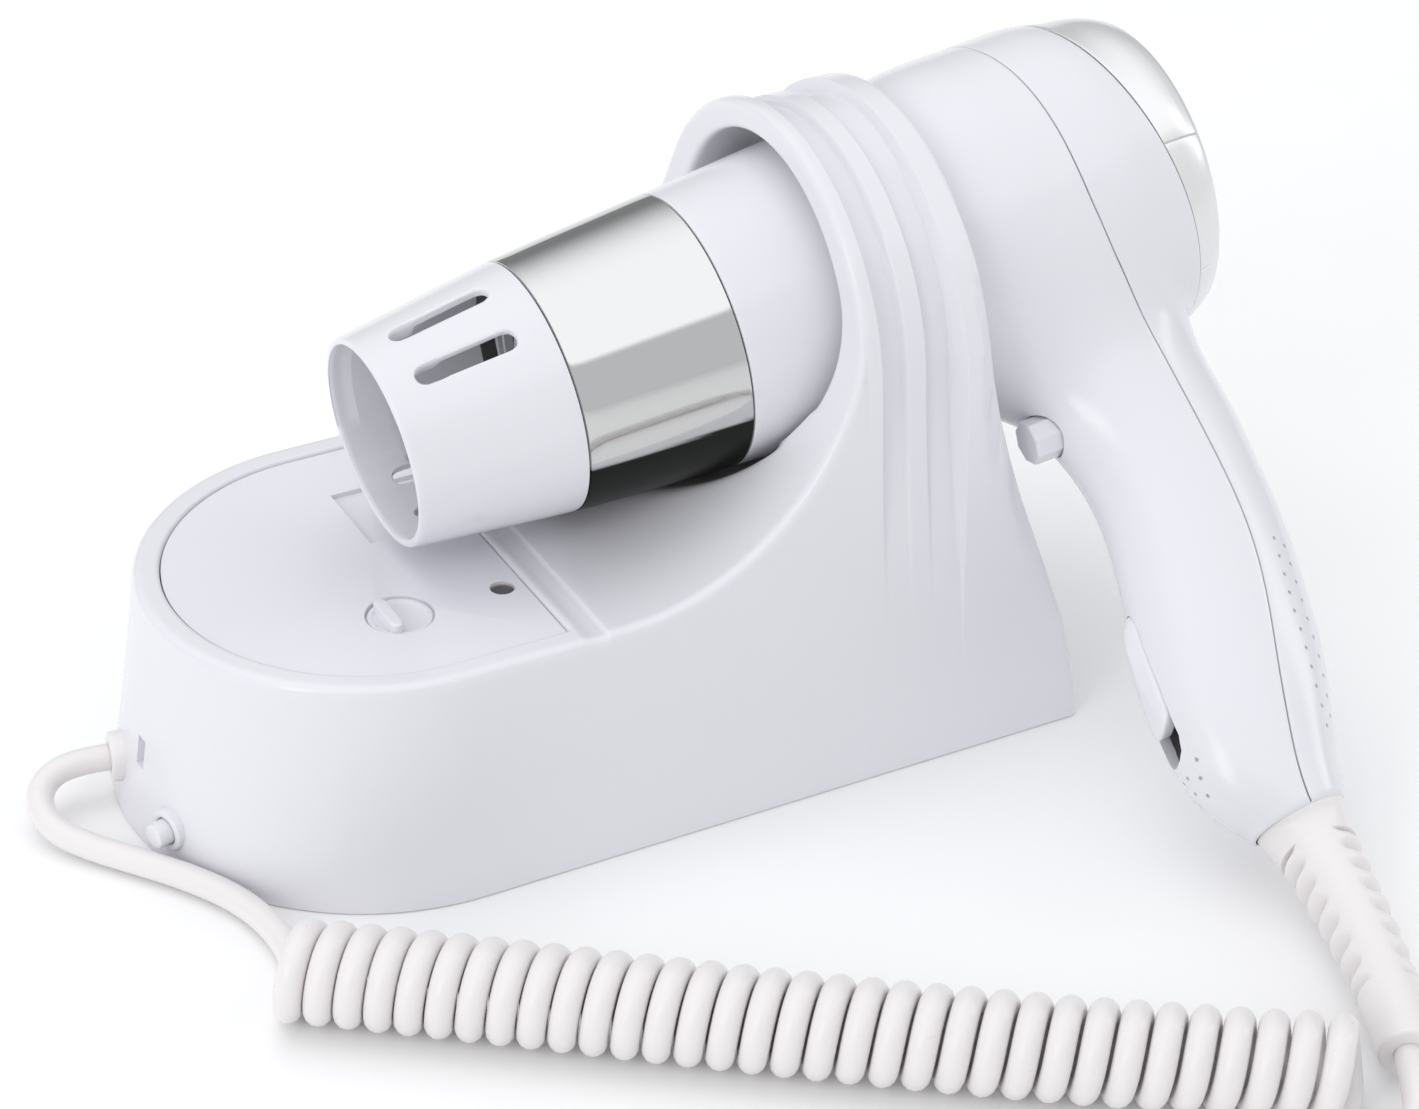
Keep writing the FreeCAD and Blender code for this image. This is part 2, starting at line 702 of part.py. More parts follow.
def gland_flat():
    """A flat spot on the curved wall so that the gland's flange seats squarely."""
    point, outward = end_wall_frame(GLAND_TURN, GLAND_HEIGHT)
    return cylinder(GLAND_FLANGE_RADIUS, GLAND_NECK, point - outward * GLAND_SINK, outward)


def holder_shell():
    """The moulded holder: round end, cradle and ring in one piece."""
    outer = casing(0, 0).fuse([rear_flange()])
    groove = relief_cutter(BAND_START_X, RIDGE_START_X, BAND_DEPTH)
    ridge = relief_cutter(RIDGE_START_X, RIDGE_END_X, RIDGE_DEPTH)
    second = relief_cutter(RIDGE_END_X, BAND_END_X, BAND_DEPTH)
    outer = outer.cut(groove).cut(ridge).cut(second)
    corner = V(-HOLDER_LENGTH, -HOLDER_LENGTH, -1)
    room = Part.makeBox(3 * HOLDER_LENGTH, 2 * HOLDER_LENGTH, RING_CAVITY_TOP + 1, corner)
    cavity = casing(HOLDER_WALL, -1).common(room)
    shell = outer.cut(cavity)
    posts = holder_bosses()
    inside = cavity.common(posts[0].fuse(posts[1:]))
    shell = shell.fuse([inside, button_collar()] + ring_pads())
    shell = shell.cut(plate_recess()).cut(top_step())
    return shell.cut(end_wall_holes()).cut(gland_flat()).removeSplitter()


def wall_plate():
    """The back plate that is screwed to the wall and closes the holder."""
    inset = HOLDER_WALL + WALL_PLATE_CLEARANCE
    corner = V(-HOLDER_LENGTH, -HOLDER_LENGTH, 0)
    slab = Part.makeBox(3 * HOLDER_LENGTH, 2 * HOLDER_LENGTH, WALL_PLATE_THICKNESS, corner)
    plate = casing(inset, -1).common(slab)
    for place in mount_holes():
        plate = plate.cut(cylinder(MOUNT_HOLE_RADIUS, WALL_PLATE_THICKNESS, place, Z_AXIS))
    for place in boss_places():
        plate = plate.cut(cylinder(SCREW_RADIUS, WALL_PLATE_THICKNESS, place, Z_AXIS))
        head = cylinder(SCREW_HEAD_RADIUS + WALL_PLATE_CLEARANCE, SCREW_HEAD_HEIGHT, place, Z_AXIS)
        plate = plate.cut(head)
    return plate


def mount_holes():
    """Centres of the four wall-screw holes."""
    centres = []
    for side_x in (-1, 1):
        for side_y in (-1, 1):
            x = MOUNT_CENTRE_X + side_x * MOUNT_PITCH_X / 2
            centres.append(V(x, side_y * MOUNT_PITCH_Y / 2, 0))
    return centres


def wall_plate_screws():
    """Four screws from the back of the wall plate into the holder's posts."""
    screws = []
    for place in boss_places():
        shank = cylinder(SCREW_RADIUS, SCREW_LENGTH, place, Z_AXIS)
        head = cylinder(SCREW_HEAD_RADIUS, SCREW_HEAD_HEIGHT, place, Z_AXIS)
        screws.append(shank.fuse(head).removeSplitter())
    return Part.makeCompound(screws)


def socket_holes(depth):
    """The two round holes of the shaver outlet, as cutters."""
    holes = []
    for side in (-1, 1):
        base = V(SOCKET_X, SOCKET_Y + side * SOCKET_PITCH / 2, PANEL_HEIGHT - depth)
        holes.append(cylinder(SOCKET_HOLE_RADIUS, depth + 5, base, Z_AXIS))
    return holes[0].fuse(holes[1:])


def socket_recess():
    """The shallow square seat round the shaver outlet."""
    corner_x = SOCKET_X - SOCKET_LENGTH / 2
    corner = V(corner_x, SOCKET_Y - SOCKET_WIDTH / 2, PANEL_HEIGHT - SOCKET_SINK)
    return Part.makeBox(SOCKET_LENGTH, SOCKET_WIDTH, 5, corner)


def cover_plate():
    """The flat plate in the round end with its outlet, selector and lamp openings."""
    clearance = PLATE_CLEARANCE
    floor = PANEL_HEIGHT - PLATE_THICKNESS
    plate = plate_outline(RIM_WIDTH + clearance, PLATE_END_X - clearance, floor, PANEL_HEIGHT)
    rim = RIM_WIDTH + PLATE_LEDGE + clearance
    low = PANEL_HEIGHT - HOLDER_WALL
    plug = plate_outline(rim, PLATE_END_X - PLATE_END_LEDGE - clearance, low, floor)
    plate = plate.fuse([plug] + board_posts())
    selector = V(SELECTOR_X, SELECTOR_Y, 0)
    sink = PANEL_HEIGHT - SELECTOR_SINK
    well = cylinder(SELECTOR_RADIUS + TURN_CLEARANCE, 10, selector + V(0, 0, sink), Z_AXIS)
    stem_radius = SELECTOR_STEM_RADIUS + RUNNING_FIT
    stem = cylinder(stem_radius, 2 * PANEL_HEIGHT, selector, Z_AXIS)
    lamp = cylinder(LAMP_RADIUS, 2 * PANEL_HEIGHT, V(LAMP_X, LAMP_Y, 0), Z_AXIS)
    plate = plate.cut(well).cut(stem).cut(lamp)
    return plate.cut(socket_recess()).cut(socket_holes(SOCKET_DEPTH)).removeSplitter()


def board_corners():
    """Centres of the posts that carry the control board."""
    corners = []
    for side_x in (-1, 1):
        for side_y in (-1, 1):
            x = BOARD_CENTRE_X + side_x * (BOARD_LENGTH / 2 - POST_RADIUS)
            y = BOARD_CENTRE_Y + side_y * (BOARD_WIDTH / 2 - POST_RADIUS)
            corners.append(V(x, y, BOARD_TOP))
    return corners


def board_posts():
    """Posts under the cover plate down to the control board."""
    length = PANEL_HEIGHT - PLATE_THICKNESS - BOARD_TOP
    return [cylinder(POST_RADIUS, length, corner, Z_AXIS) for corner in board_corners()]


def control_board():
    """The small circuit board under the selector and the lamp."""
    centre = V(BOARD_CENTRE_X, BOARD_CENTRE_Y, BOARD_TOP - BOARD_THICKNESS / 2)
    return box_at(centre, (BOARD_LENGTH, BOARD_WIDTH, BOARD_THICKNESS))


def selector_switch():
    """The rotary switch body on the board, under the selector knob."""
    top = PANEL_HEIGHT - HOLDER_WALL
    centre = V(SELECTOR_X, SELECTOR_Y, (BOARD_TOP + top) / 2)
    body = box_at(centre, (SELECTOR_SWITCH, SELECTOR_SWITCH, top - BOARD_TOP))
    foot = V(SELECTOR_X, SELECTOR_Y, 0)
    return body.cut(cylinder(SELECTOR_STEM_RADIUS + RUNNING_FIT, PANEL_HEIGHT, foot, Z_AXIS))


def selector_knob():
    """The turning disc of the voltage selector with its raised grip bar."""
    base = V(SELECTOR_X, SELECTOR_Y, PANEL_HEIGHT - SELECTOR_SINK)
    disc = cylinder(SELECTOR_RADIUS, SELECTOR_DISC, base, Z_AXIS)
    length = 2 * (SELECTOR_RADIUS - SELECTOR_SINK)
    rise = SELECTOR_SINK + SELECTOR_BAR_RISE
    bar = box_at(base + V(0, 0, rise / 2), (SELECTOR_BAR_WIDTH, length, rise))
    depth = base.z - BOARD_TOP - SELECTOR_STEM_GAP
    stem = cylinder(SELECTOR_STEM_RADIUS, depth, base - V(0, 0, depth), Z_AXIS)
    return fused([disc, bar, stem])


def pilot_lamp():
    """The lens and body of the pilot lamp."""
    radius = LAMP_RADIUS - PRESS_PLAY
    foot = V(LAMP_X, LAMP_Y, BOARD_TOP)
    length = PANEL_HEIGHT - LAMP_SINK - BOARD_TOP
    dome = Part.makeSphere(LAMP_DOME_RADIUS, foot + V(0, 0, length - LAMP_DOME_RADIUS))
    shoulder = length - LAMP_DOME_HEIGHT
    column = cylinder(radius, length, foot + V(0, 0, shoulder), Z_AXIS)
    return fused([cylinder(radius, shoulder, foot, Z_AXIS), dome.common(column)])


def socket_block():
    """The insulating block behind the shaver outlet."""
    top = PANEL_HEIGHT - HOLDER_WALL
    depth = SOCKET_DEPTH - HOLDER_WALL
    centre = V(SOCKET_X, SOCKET_Y, top - depth / 2)
    block = box_at(centre, (SOCKET_BLOCK_LENGTH, SOCKET_WIDTH, depth))
    return block.cut(socket_holes(SOCKET_DEPTH - CONTACT_RADIUS))


def socket_contacts():
    """Two sprung metal sleeves inside the outlet block."""
    sleeves = []
    for side in (-1, 1):
        y = SOCKET_Y + side * SOCKET_PITCH / 2
        base = V(SOCKET_X, y, PANEL_HEIGHT - SOCKET_DEPTH + CONTACT_RADIUS)
        outer = SOCKET_HOLE_RADIUS - PRESS_PLAY
        sleeves.append(tube(outer, CONTACT_RADIUS, CONTACT_LENGTH, base, Z_AXIS))
    return Part.makeCompound(sleeves)


def transformer_core():
    """The stacked iron core of the outlet's transformer, on its bracket."""
    width, height = CORE_SIZE[1:]
    centre = V(CORE_X, 0, WALL_PLATE_THICKNESS + BRACKET_THICKNESS + height / 2)
    core = box_at(centre, CORE_SIZE)
    for side in (-1, 1):
        window_x = centre.x + side * (CORE_LIMB + CORE_WINDOW) / 2
        window = box_at(V(window_x, 0, centre.z), (CORE_WINDOW, width * 2, BOBBIN_LENGTH))
        core = core.cut(window)
    return core


def transformer_winding():
    """The wound bobbin round the core's middle limb."""
    width, height = CORE_SIZE[1:]
    centre = V(CORE_X, 0, WALL_PLATE_THICKNESS + BRACKET_THICKNESS + height / 2)
    outer = CORE_LIMB + 2 * CORE_WINDOW - BOBBIN_PLAY
    depth = width + 2 * CORE_WINDOW - 2
    block = box_at(centre, (outer, depth, BOBBIN_LENGTH - BOBBIN_PLAY))
    return block.cut(box_at(centre, (CORE_LIMB, width, BOBBIN_LENGTH * 2)))


def transformer_bracket():
    """The steel strap under the core with a screw foot at each end."""
    length, width = CORE_SIZE[:2]
    centre = V(CORE_X, 0, WALL_PLATE_THICKNESS + BRACKET_THICKNESS / 2)
    size = (length + 2 * BRACKET_FOOT, width - BRACKET_NARROWING, BRACKET_THICKNESS)
    strap = box_at(centre, size)
    for place in bracket_screw_places():
        strap = strap.cut(cylinder(SCREW_RADIUS, BRACKET_THICKNESS, place, -Z_AXIS))
    return strap


def bracket_screw_places():
    """Where the transformer's two screws stand, on top of the strap."""
    reach = CORE_SIZE[0] / 2 + BRACKET_FOOT / 2
    top = WALL_PLATE_THICKNESS + BRACKET_THICKNESS
    return [V(CORE_X - reach, 0, top), V(CORE_X + reach, 0, top)]


def transformer_screws():
    """Two short screws that hold the strap to the wall plate."""
    screws = []
    for place in bracket_screw_places():
        shank = cylinder(SCREW_RADIUS - PRESS_PLAY, BRACKET_THICKNESS, place, -Z_AXIS)
        head = cylinder(SCREW_HEAD_RADIUS, SCREW_HEAD_HEIGHT, place, Z_AXIS)
        screws.append(head.fuse(shank).removeSplitter())
    return Part.makeCompound(screws)


def terminal_block():
    """The screw terminals where the cord's wires end."""
    length, height = TERMINAL_SIZE[0], TERMINAL_SIZE[2]
    centre = V(TERMINAL_X + length / 2, TERMINAL_Y, WALL_PLATE_THICKNESS + height / 2)
    block = box_at(centre, TERMINAL_SIZE)
    for step in (-1, 0, 1):
        top = centre + V(step * TERMINAL_PITCH, 0, height / 2 - TERMINAL_WELL_DEPTH)
        block = block.cut(cylinder(TERMINAL_WELL_RADIUS, height, top, Z_AXIS))
    return block


def cord_gland():
    """The moulded bush that holds the cord in the round end's wall."""
    point, outward = end_wall_frame(GLAND_TURN, GLAND_HEIGHT)
    flat = point - outward * GLAND_SINK
    flange = cylinder(GLAND_FLANGE_RADIUS, GLAND_FLANGE + GLAND_SINK, flat, outward)
    inner = flat - outward * GLAND_NECK
    return fused([flange, cylinder(GLAND_NECK_RADIUS, GLAND_NECK, inner, outward)])


def gland_clamp():
    """The bar that grips the cord behind the gland."""
    point, outward = end_wall_frame(GLAND_TURN, GLAND_HEIGHT)
    centre = point - outward * (GLAND_NECK + GLAND_SINK + CLAMP_SIZE[0] / 2)
    bar = box_at(V(0, 0, 0), (CLAMP_SIZE[0], CLAMP_SIZE[1], GLAND_HEIGHT - WALL_PLATE_THICKNESS))
    bar.rotate(V(0, 0, 0), Z_AXIS, -GLAND_TURN)
    bar.translate(V(centre.x, centre.y, (GLAND_HEIGHT + WALL_PLATE_THICKNESS) / 2))
    return bar


def main_button():
    """The round end's push button with its stem and inner head."""
    point, outward = end_wall_frame(BUTTON_TURN, BUTTON_HEIGHT)
    inner = point - outward * BUTTON_STEM
    stem = cylinder(BUTTON_RADIUS, BUTTON_STEM + BUTTON_PROUD, inner, outward)
    head_start = HOLDER_WALL + BUTTON_HEAD_GAP + BUTTON_HEAD_LENGTH
    head = cylinder(BUTTON_HEAD_RADIUS, BUTTON_HEAD_LENGTH, point - outward * head_start, outward)
    return fused([stem, head])


def button_switch():
    """The latching switch that the round end's button presses."""
    point, outward = end_wall_frame(BUTTON_TURN, BUTTON_HEIGHT)
    reach = BUTTON_STEM + BUTTON_TRAVEL + SWITCH_GAP + SWITCH_BOX[0] / 2
    centre = point - outward * reach
    body = box_at(V(0, 0, 0), (SWITCH_BOX[0], SWITCH_BOX[1], SWITCH_BOX[2]))
    body.rotate(V(0, 0, 0), Z_AXIS, -BUTTON_TURN)
    body.translate(V(centre.x, centre.y, WALL_PLATE_THICKNESS + SWITCH_BOX[2] / 2))
    return body


# ================================================================ dryer outline
def profile_radius(place):
    """Barrel radius at a distance from the mouth, straight between profile points."""
    for low, high in zip(BARREL_PROFILE, BARREL_PROFILE[1:]):
        if low[0] <= place <= high[0]:
            share = (place - low[0]) / (high[0] - low[0])
            return low[1] + share * (high[1] - low[1])
    raise ValueError("outside the barrel")


def barrel_form(inset):
    """The whole barrel's solid of revolution, moved in by an inset."""
    curve = Part.BSplineCurve()
    curve.interpolate([V(place, 0, radius - inset) for place, radius in BARREL_PROFILE])
    edge = curve.toShape()
    first = edge.Vertexes[0].Point
    last = edge.Vertexes[-1].Point
    foot = V(first.x, 0, 0)
    edges = [
        edge,
        Part.makeLine(last, V(CAP_END, 0, 0)),
        Part.makeLine(V(CAP_END, 0, 0), foot),
        Part.makeLine(foot, first),
    ]
    face = Part.Face(Part.Wire(Part.__sortEdges__(edges)))
    return face.revolve(V(0, 0, 0), X_AXIS, 360)


def barrel_solid(start, end, inset):
    """The part of the barrel's form between two places along it."""
    slice_between = cylinder(CUT_HALF_SPAN, end - start, V(start, 0, 0), X_AXIS)
    return barrel_form(inset).common(slice_between)


def handle_section(section, inset):
    """One oval section of the handle, across its length."""
    distance, centre, depth, width = section
    ellipse = Part.Ellipse(V(0, 0, 0), depth - inset, width - inset)
    wire = Part.Wire([ellipse.toShape()])
    wire.translate(V(centre, 0, -distance))
    return wire


def handle_solid(inset):
    """The handle's lofted form, moved in by an inset."""
    wires = [handle_section(section, inset) for section in HANDLE_SECTIONS]
    return Part.makeLoft(wires, True, False)


def handle_value(distance, index):
    """Centre, half depth or half width of the handle at a distance."""
    for low, high in zip(HANDLE_SECTIONS, HANDLE_SECTIONS[1:]):
        if low[0] <= distance <= high[0]:
            share = (distance - low[0]) / (high[0] - low[0])
            return low[index] + share * (high[index] - low[index])
    raise ValueError("outside the handle")


def handle_front(distance):
    """Where the handle's front face lies at a distance from the barrel axis."""
    return handle_value(distance, 1) - handle_value(distance, 2)


def seam_points(shift):
    """The parting line seen from the side, from above the barrel to the handle's end."""
    points = [V(SEAM_TOP + shift, 0, SEAM_TOP_HEIGHT)]
    points.append(V(SEAM_MIDDLE + shift, 0, SEAM_MIDDLE_HEIGHT))
    for section in HANDLE_SECTIONS[1:]:
        points.append(V(section[1] + shift, 0, -section[0]))
    points.append(V(HANDLE_SECTIONS[-1][1] + shift, 0, -HANDLE_END - SEAM_RUN_OUT))
    return points


def seam_block(shift, far_x):
    """Everything on one side of the parting line."""
    curve = Part.BSplineCurve()
    curve.interpolate(seam_points(shift))
    edge = curve.toShape()
    top = edge.Vertexes[0].Point
    low = edge.Vertexes[-1].Point
    edges = [
        edge,
        Part.makeLine(low, V(far_x, 0, low.z)),
        Part.makeLine(V(far_x, 0, low.z), V(far_x, 0, top.z)),
        Part.makeLine(V(far_x, 0, top.z), top),
    ]
    face = Part.Face(Part.Wire(Part.__sortEdges__(edges)))
    face.translate(V(0, -CUT_HALF_SPAN, 0))
    return face.extrude(V(0, 2 * CUT_HALF_SPAN, 0))


def cap_block(shift, far_x):
    """Everything on one side of the cap's slanted edge."""
    high = CUT_HALF_SPAN
    low = -HANDLE_END - 2 * SEAM_RUN_OUT
    top_x = CAP_START - CAP_SLANT * high + shift
    low_x = CAP_START - CAP_SLANT * low + shift
    side = -CUT_HALF_SPAN
    corners = [V(top_x, side, high), V(low_x, side, low), V(far_x, side, low), V(far_x, side, high)]
    return face_of(corners).extrude(V(0, 2 * CUT_HALF_SPAN, 0))


def housing_shell():
    """Both housing halves in one: barrel behind the nozzle and the handle."""
    body = barrel_solid(NOZZLE_END, CAP_END, 0).fuse(handle_solid(0))
    thin = HOUSING_WALL + CHROME_THICKNESS
    front_room = barrel_solid(NOZZLE_END, CHROME_END, thin)
    rear_room = barrel_solid(CHROME_END, CAP_END, HOUSING_WALL)
    room = front_room.fuse([rear_room, handle_solid(HOUSING_WALL)])
    band = barrel_solid(NOZZLE_END, CHROME_END, 0).cut(
        barrel_solid(NOZZLE_END, CHROME_END, CHROME_THICKNESS))
    return body.cut(room).cut(band)


def screw_place(distance):
    """Where a handle screw's axis crosses the parting line."""
    return V(handle_value(distance, 1), 0, -distance)


def screw_posts():
    """Posts inside the handle for the two housing screws."""
    posts = []
    for distance in HANDLE_SCREWS_T:
        centre = screw_place(distance)
        depth = handle_value(distance, 2) - HOUSING_WALL / 2
        start = centre - V(depth, 0, 0)
        post = cylinder(HANDLE_POST_RADIUS, 2 * depth, start, X_AXIS)
        posts.append(post)
    return posts


def screw_cutter(distance):
    """The hole and the sunk seat of one housing screw."""
    centre = screw_place(distance)
    depth = handle_value(distance, 2)
    start = centre + V(depth - HANDLE_SCREW_LENGTH - HANDLE_SCREW_SINK, 0, 0)
    hole = cylinder(SCREW_RADIUS, HANDLE_SCREW_LENGTH, start, X_AXIS)
    seat_start = centre + V(depth - HANDLE_SCREW_SINK, 0, 0)
    seat = cylinder(SCREW_HEAD_RADIUS, 2 * HANDLE_SCREW_SINK, seat_start, X_AXIS)
    return hole.fuse(seat)


def handle_screws():
    """The two screws that pull the housing halves together."""
    screws = []
    for distance in HANDLE_SCREWS_T:
        centre = screw_place(distance)
        depth = handle_value(distance, 2)
        start = centre + V(depth - HANDLE_SCREW_LENGTH - HANDLE_SCREW_SINK, 0, 0)
        shank = cylinder(SCREW_RADIUS, HANDLE_SCREW_LENGTH, start, X_AXIS)
        seat = centre + V(depth - HANDLE_SCREW_SINK, 0, 0)
        head = cylinder(SCREW_HEAD_RADIUS - FITTING_PLAY, SCREW_HEAD_HEIGHT, seat, X_AXIS)
        screws.append(in_dryer(shank.fuse(head).removeSplitter()))
    return Part.makeCompound(screws)


def key_frame():
    """Where the push button crosses the handle's front face."""
    return V(handle_front(KEY_T), 0, -KEY_T)


def key_cutter():
    """The round opening of the push button."""
    radius = KEY_RADIUS + TURN_CLEARANCE
    return cylinder(radius, 2 * KEY_BODY, key_frame() - V(KEY_BODY, 0, 0), X_AXIS)


def slider_face():
    """The curved front line of the slide switch's opening, from top to bottom."""
    start = SLIDER_START - SLIDER_END_PLAY
    end = SLIDER_END + SLIDER_TRAVEL + SLIDER_END_PLAY
    return start, end


def slider_cutter():
    """The long opening in the handle's front face for the slide switch."""
    start, end = slider_face()
    middle = (start + end) / 2
    centre = V(handle_front(middle), 0, -middle)
    width = 2 * (SLIDER_HALF_WIDTH + TURN_CLEARANCE)
    return box_at(centre, (SLIDER_CUT_DEPTH, width, end - start))


def front_housing():
    """The front half of the dryer's housing: barrel tube and the handle's front."""
    shell = housing_shell().common(seam_block(-SEAM_GAP / 2, CUT_FRONT_X))
    posts = screw_posts()
    half = posts[0].fuse(posts[1:]).common(seam_block(-SEAM_GAP / 2, CUT_FRONT_X))
    shell = shell.fuse(half.common(handle_solid(0)))
    for distance in HANDLE_SCREWS_T:
        shell = shell.cut(screw_cutter(distance))
    shell = shell.cut(key_cutter()).cut(slider_cutter()).cut(relief_opening())
    return in_dryer(shell.removeSplitter())


def rear_housing():
    """The rear half of the dryer's housing up to the cap."""
    shell = housing_shell().common(seam_block(SEAM_GAP / 2, CUT_REAR_X))
    shell = shell.common(cap_block(-SEAM_GAP / 2, CUT_FRONT_X))
    posts = screw_posts()
    half = posts[0].fuse(posts[1:]).common(seam_block(SEAM_GAP / 2, CUT_REAR_X))
    shell = shell.fuse(half.common(handle_solid(0)))
    for distance in HANDLE_SCREWS_T:
        shell = shell.cut(screw_cutter(distance))
    return in_dryer(shell.cut(relief_opening()).removeSplitter())


def relief_opening():
    """The round hole at the handle's end that the strain relief fills."""
    tip = V(HANDLE_SECTIONS[-1][1], 0, -HANDLE_END)
    return cylinder(RELIEF_HEAD_RADIUS, RELIEF_HEAD_LENGTH, tip, Z_AXIS)


def rear_cap():
    """The bright ring that closes the barrel's rear end."""
    outer = barrel_solid(CHROME_END, CAP_END, 0)
    base = V(CHROME_END, 0, 0)
    inner = cylinder(GRILLE_RADIUS + FITTING_PLAY, CAP_END, base, X_AXIS)
    ring = outer.cut(inner).common(cap_block(SEAM_GAP / 2, CUT_REAR_X))
    spigot_outer = barrel_solid(CHROME_END, CAP_END, HOUSING_WALL + FITTING_PLAY)
    spigot = spigot_outer.cut(cylinder(DUCT_RADIUS + FITTING_PLAY, CAP_END, base, X_AXIS))
    collar = spigot.common(cap_block(-CAP_SPIGOT, CUT_REAR_X))
    collar = collar.common(cap_block(SEAM_GAP, CUT_FRONT_X))
    return in_dryer(ring.fuse(collar).removeSplitter())


def chrome_band():
    """The bright metal sleeve round the barrel."""
    outer = barrel_solid(NOZZLE_END, CHROME_END, 0)
    return in_dryer(outer.cut(barrel_solid(NOZZLE_END, CHROME_END, CHROME_THICKNESS)))


def nozzle_slot(angle):
    """One long air slot with round ends through the nozzle's wall."""
    middle = SLOT_START + SLOT_LENGTH / 2
    straight = SLOT_LENGTH - SLOT_WIDTH
    reach = 2 * MOUTH_RADIUS
    bar = box_at(V(middle, 0, reach / 2), (straight, SLOT_WIDTH, reach))
    ends = []
    for side in (-1, 1):
        ends.append(cylinder(SLOT_WIDTH / 2, reach, V(middle + side * straight / 2, 0, 0), Z_AXIS))
    slot = bar.fuse(ends)
    slot.rotate(V(0, 0, 0), X_AXIS, angle)
    return slot


def nozzle_tube():
    """The white front tube with its mouth, air slots and rear spigot."""
    outer = barrel_solid(0, NOZZLE_END, 0)
    inner = barrel_solid(0, NOZZLE_END, NOZZLE_WALL)
    bore = cylinder(MOUTH_RADIUS - NOZZLE_WALL, MOUTH_BORE_DEPTH, V(0, 0, 0), X_AXIS)
    tight = cylinder(2 * MOUTH_RADIUS, MOUTH_BORE_DEPTH, V(0, 0, 0), X_AXIS)
    shell = outer.cut(inner.cut(tight)).cut(bore)
    spigot_radius = profile_radius(NOZZLE_END) - CHROME_THICKNESS - HOUSING_WALL - PRESS_PLAY
    spigot_bore = spigot_radius - SPIGOT_WALL
    web_start = V(NOZZLE_END - SPIGOT_WEB, 0, 0)
    spigot = tube(spigot_radius, spigot_bore, NOZZLE_SPIGOT + SPIGOT_WEB, web_start, X_AXIS)
    web = tube(profile_radius(NOZZLE_END) - SPIGOT_WALL, spigot_bore, SPIGOT_WEB, web_start, X_AXIS)
    shell = shell.fuse([spigot, web])
    for angle in SLOT_ANGLES:
        shell = shell.cut(nozzle_slot(angle))
    return in_dryer(shell.cut(mouth_step()).removeSplitter())


def mouth_step():
    """The shallow arc-shaped step just inside the mouth, as a cutter."""
    radius = MOUTH_RADIUS - NOZZLE_WALL + MOUTH_STEP_DEPTH
    base = V(0, 0, 0)
    step = Part.makeCylinder(radius, MOUTH_STEP_LENGTH, base, X_AXIS, MOUTH_STEP_ANGLE)
    step.rotate(base, X_AXIS, -MOUTH_STEP_ANGLE / 2)
    return step


# ================================================================ inside the dryer
def outlet_grille():
    """The wire-like grid that closes the barrel in front of the heater."""
    wall = CHROME_THICKNESS + HOUSING_WALL + SPIGOT_WALL + FITTING_PLAY
    rim = profile_radius(NOZZLE_END) - wall
    base = V(OUTLET_S, 0, 0)
    parts = [tube(rim, rim - SPIGOT_WALL, OUTLET_THICKNESS, base, X_AXIS)]
    for radius in OUTLET_RINGS:
        outer = radius + OUTLET_BAR / 2
        parts.append(tube(outer, outer - OUTLET_BAR, OUTLET_THICKNESS, base, X_AXIS))
    centre = V(OUTLET_S + OUTLET_THICKNESS / 2, 0, 0)
    for angle in (0, 45, 90, 135):
        bar = box_at(centre, (OUTLET_THICKNESS, 2 * rim - SPIGOT_WALL, OUTLET_BAR))
        bar.rotate(centre, X_AXIS, angle)
        parts.append(bar)
    return in_dryer(fused(parts))


def heater_sleeve():
    """The thin mica tube round the heater."""
    length = HEATER_END - HEATER_START
    inner = SLEEVE_RADIUS - SLEEVE_THICKNESS
    return in_dryer(tube(SLEEVE_RADIUS, inner, length, V(HEATER_START, 0, 0), X_AXIS))


def coil_ring(index, wire):
    """One turn of the heating wire, as a ring."""
    place = COIL_START + index * COIL_PITCH
    return Part.makeTorus(COIL_RADIUS, wire, V(place, 0, 0), X_AXIS)


def heater_frame():
    """Two crossed mica boards, notched for the heating wire."""
    length = HEATER_END - HEATER_START
    centre = V((HEATER_START + HEATER_END) / 2, 0, 0)
    width = 2 * (SLEEVE_RADIUS - SLEEVE_THICKNESS - TURN_CLEARANCE)
    upright = box_at(centre, (length, MICA_THICKNESS, width))
    level = box_at(centre, (length, width, MICA_THICKNESS))
    cross = upright.fuse(level).removeSplitter()
    for index in range(COIL_COUNT):
        cross = cross.cut(coil_ring(index, COIL_WIRE / 2 + PRESS_PLAY))
    return in_dryer(cross)


def heating_coils():
    """The heating wire's turns round the mica cross."""
    rings = [in_dryer(coil_ring(index, COIL_WIRE / 2)) for index in range(COIL_COUNT)]
    return Part.makeCompound(rings)


def thermal_cutout():
    """The safety thermostat riveted to the mica board."""
    centre = V(HEATER_END - CUTOUT_INSET, CUTOUT_SHIFT, (MICA_THICKNESS + CUTOUT_SIZE[1]) / 2)
    return in_dryer(box_at(centre, (CUTOUT_SIZE[0], CUTOUT_SIZE[2], CUTOUT_SIZE[1])))


def motor_can():
    """The motor's steel can with a bush seat at each end."""
    length = MOTOR_END - MOTOR_START
    can = cylinder(MOTOR_RADIUS, length, V(MOTOR_START, 0, 0), X_AXIS)
    bore = cylinder(SHAFT_RADIUS + SHAFT_ROOM, length, V(MOTOR_START, 0, 0), X_AXIS)
    return in_dryer(can.cut(bore))


def motor_bushes():
    """The two sintered bushes that carry the shaft."""
    bushes = []
    for start in (MOTOR_START - BUSH_LENGTH, MOTOR_END):
        bush = tube(BUSH_RADIUS, SHAFT_RADIUS + RUNNING_FIT, BUSH_LENGTH, V(start, 0, 0), X_AXIS)
        bushes.append(in_dryer(bush))
    return Part.makeCompound(bushes)


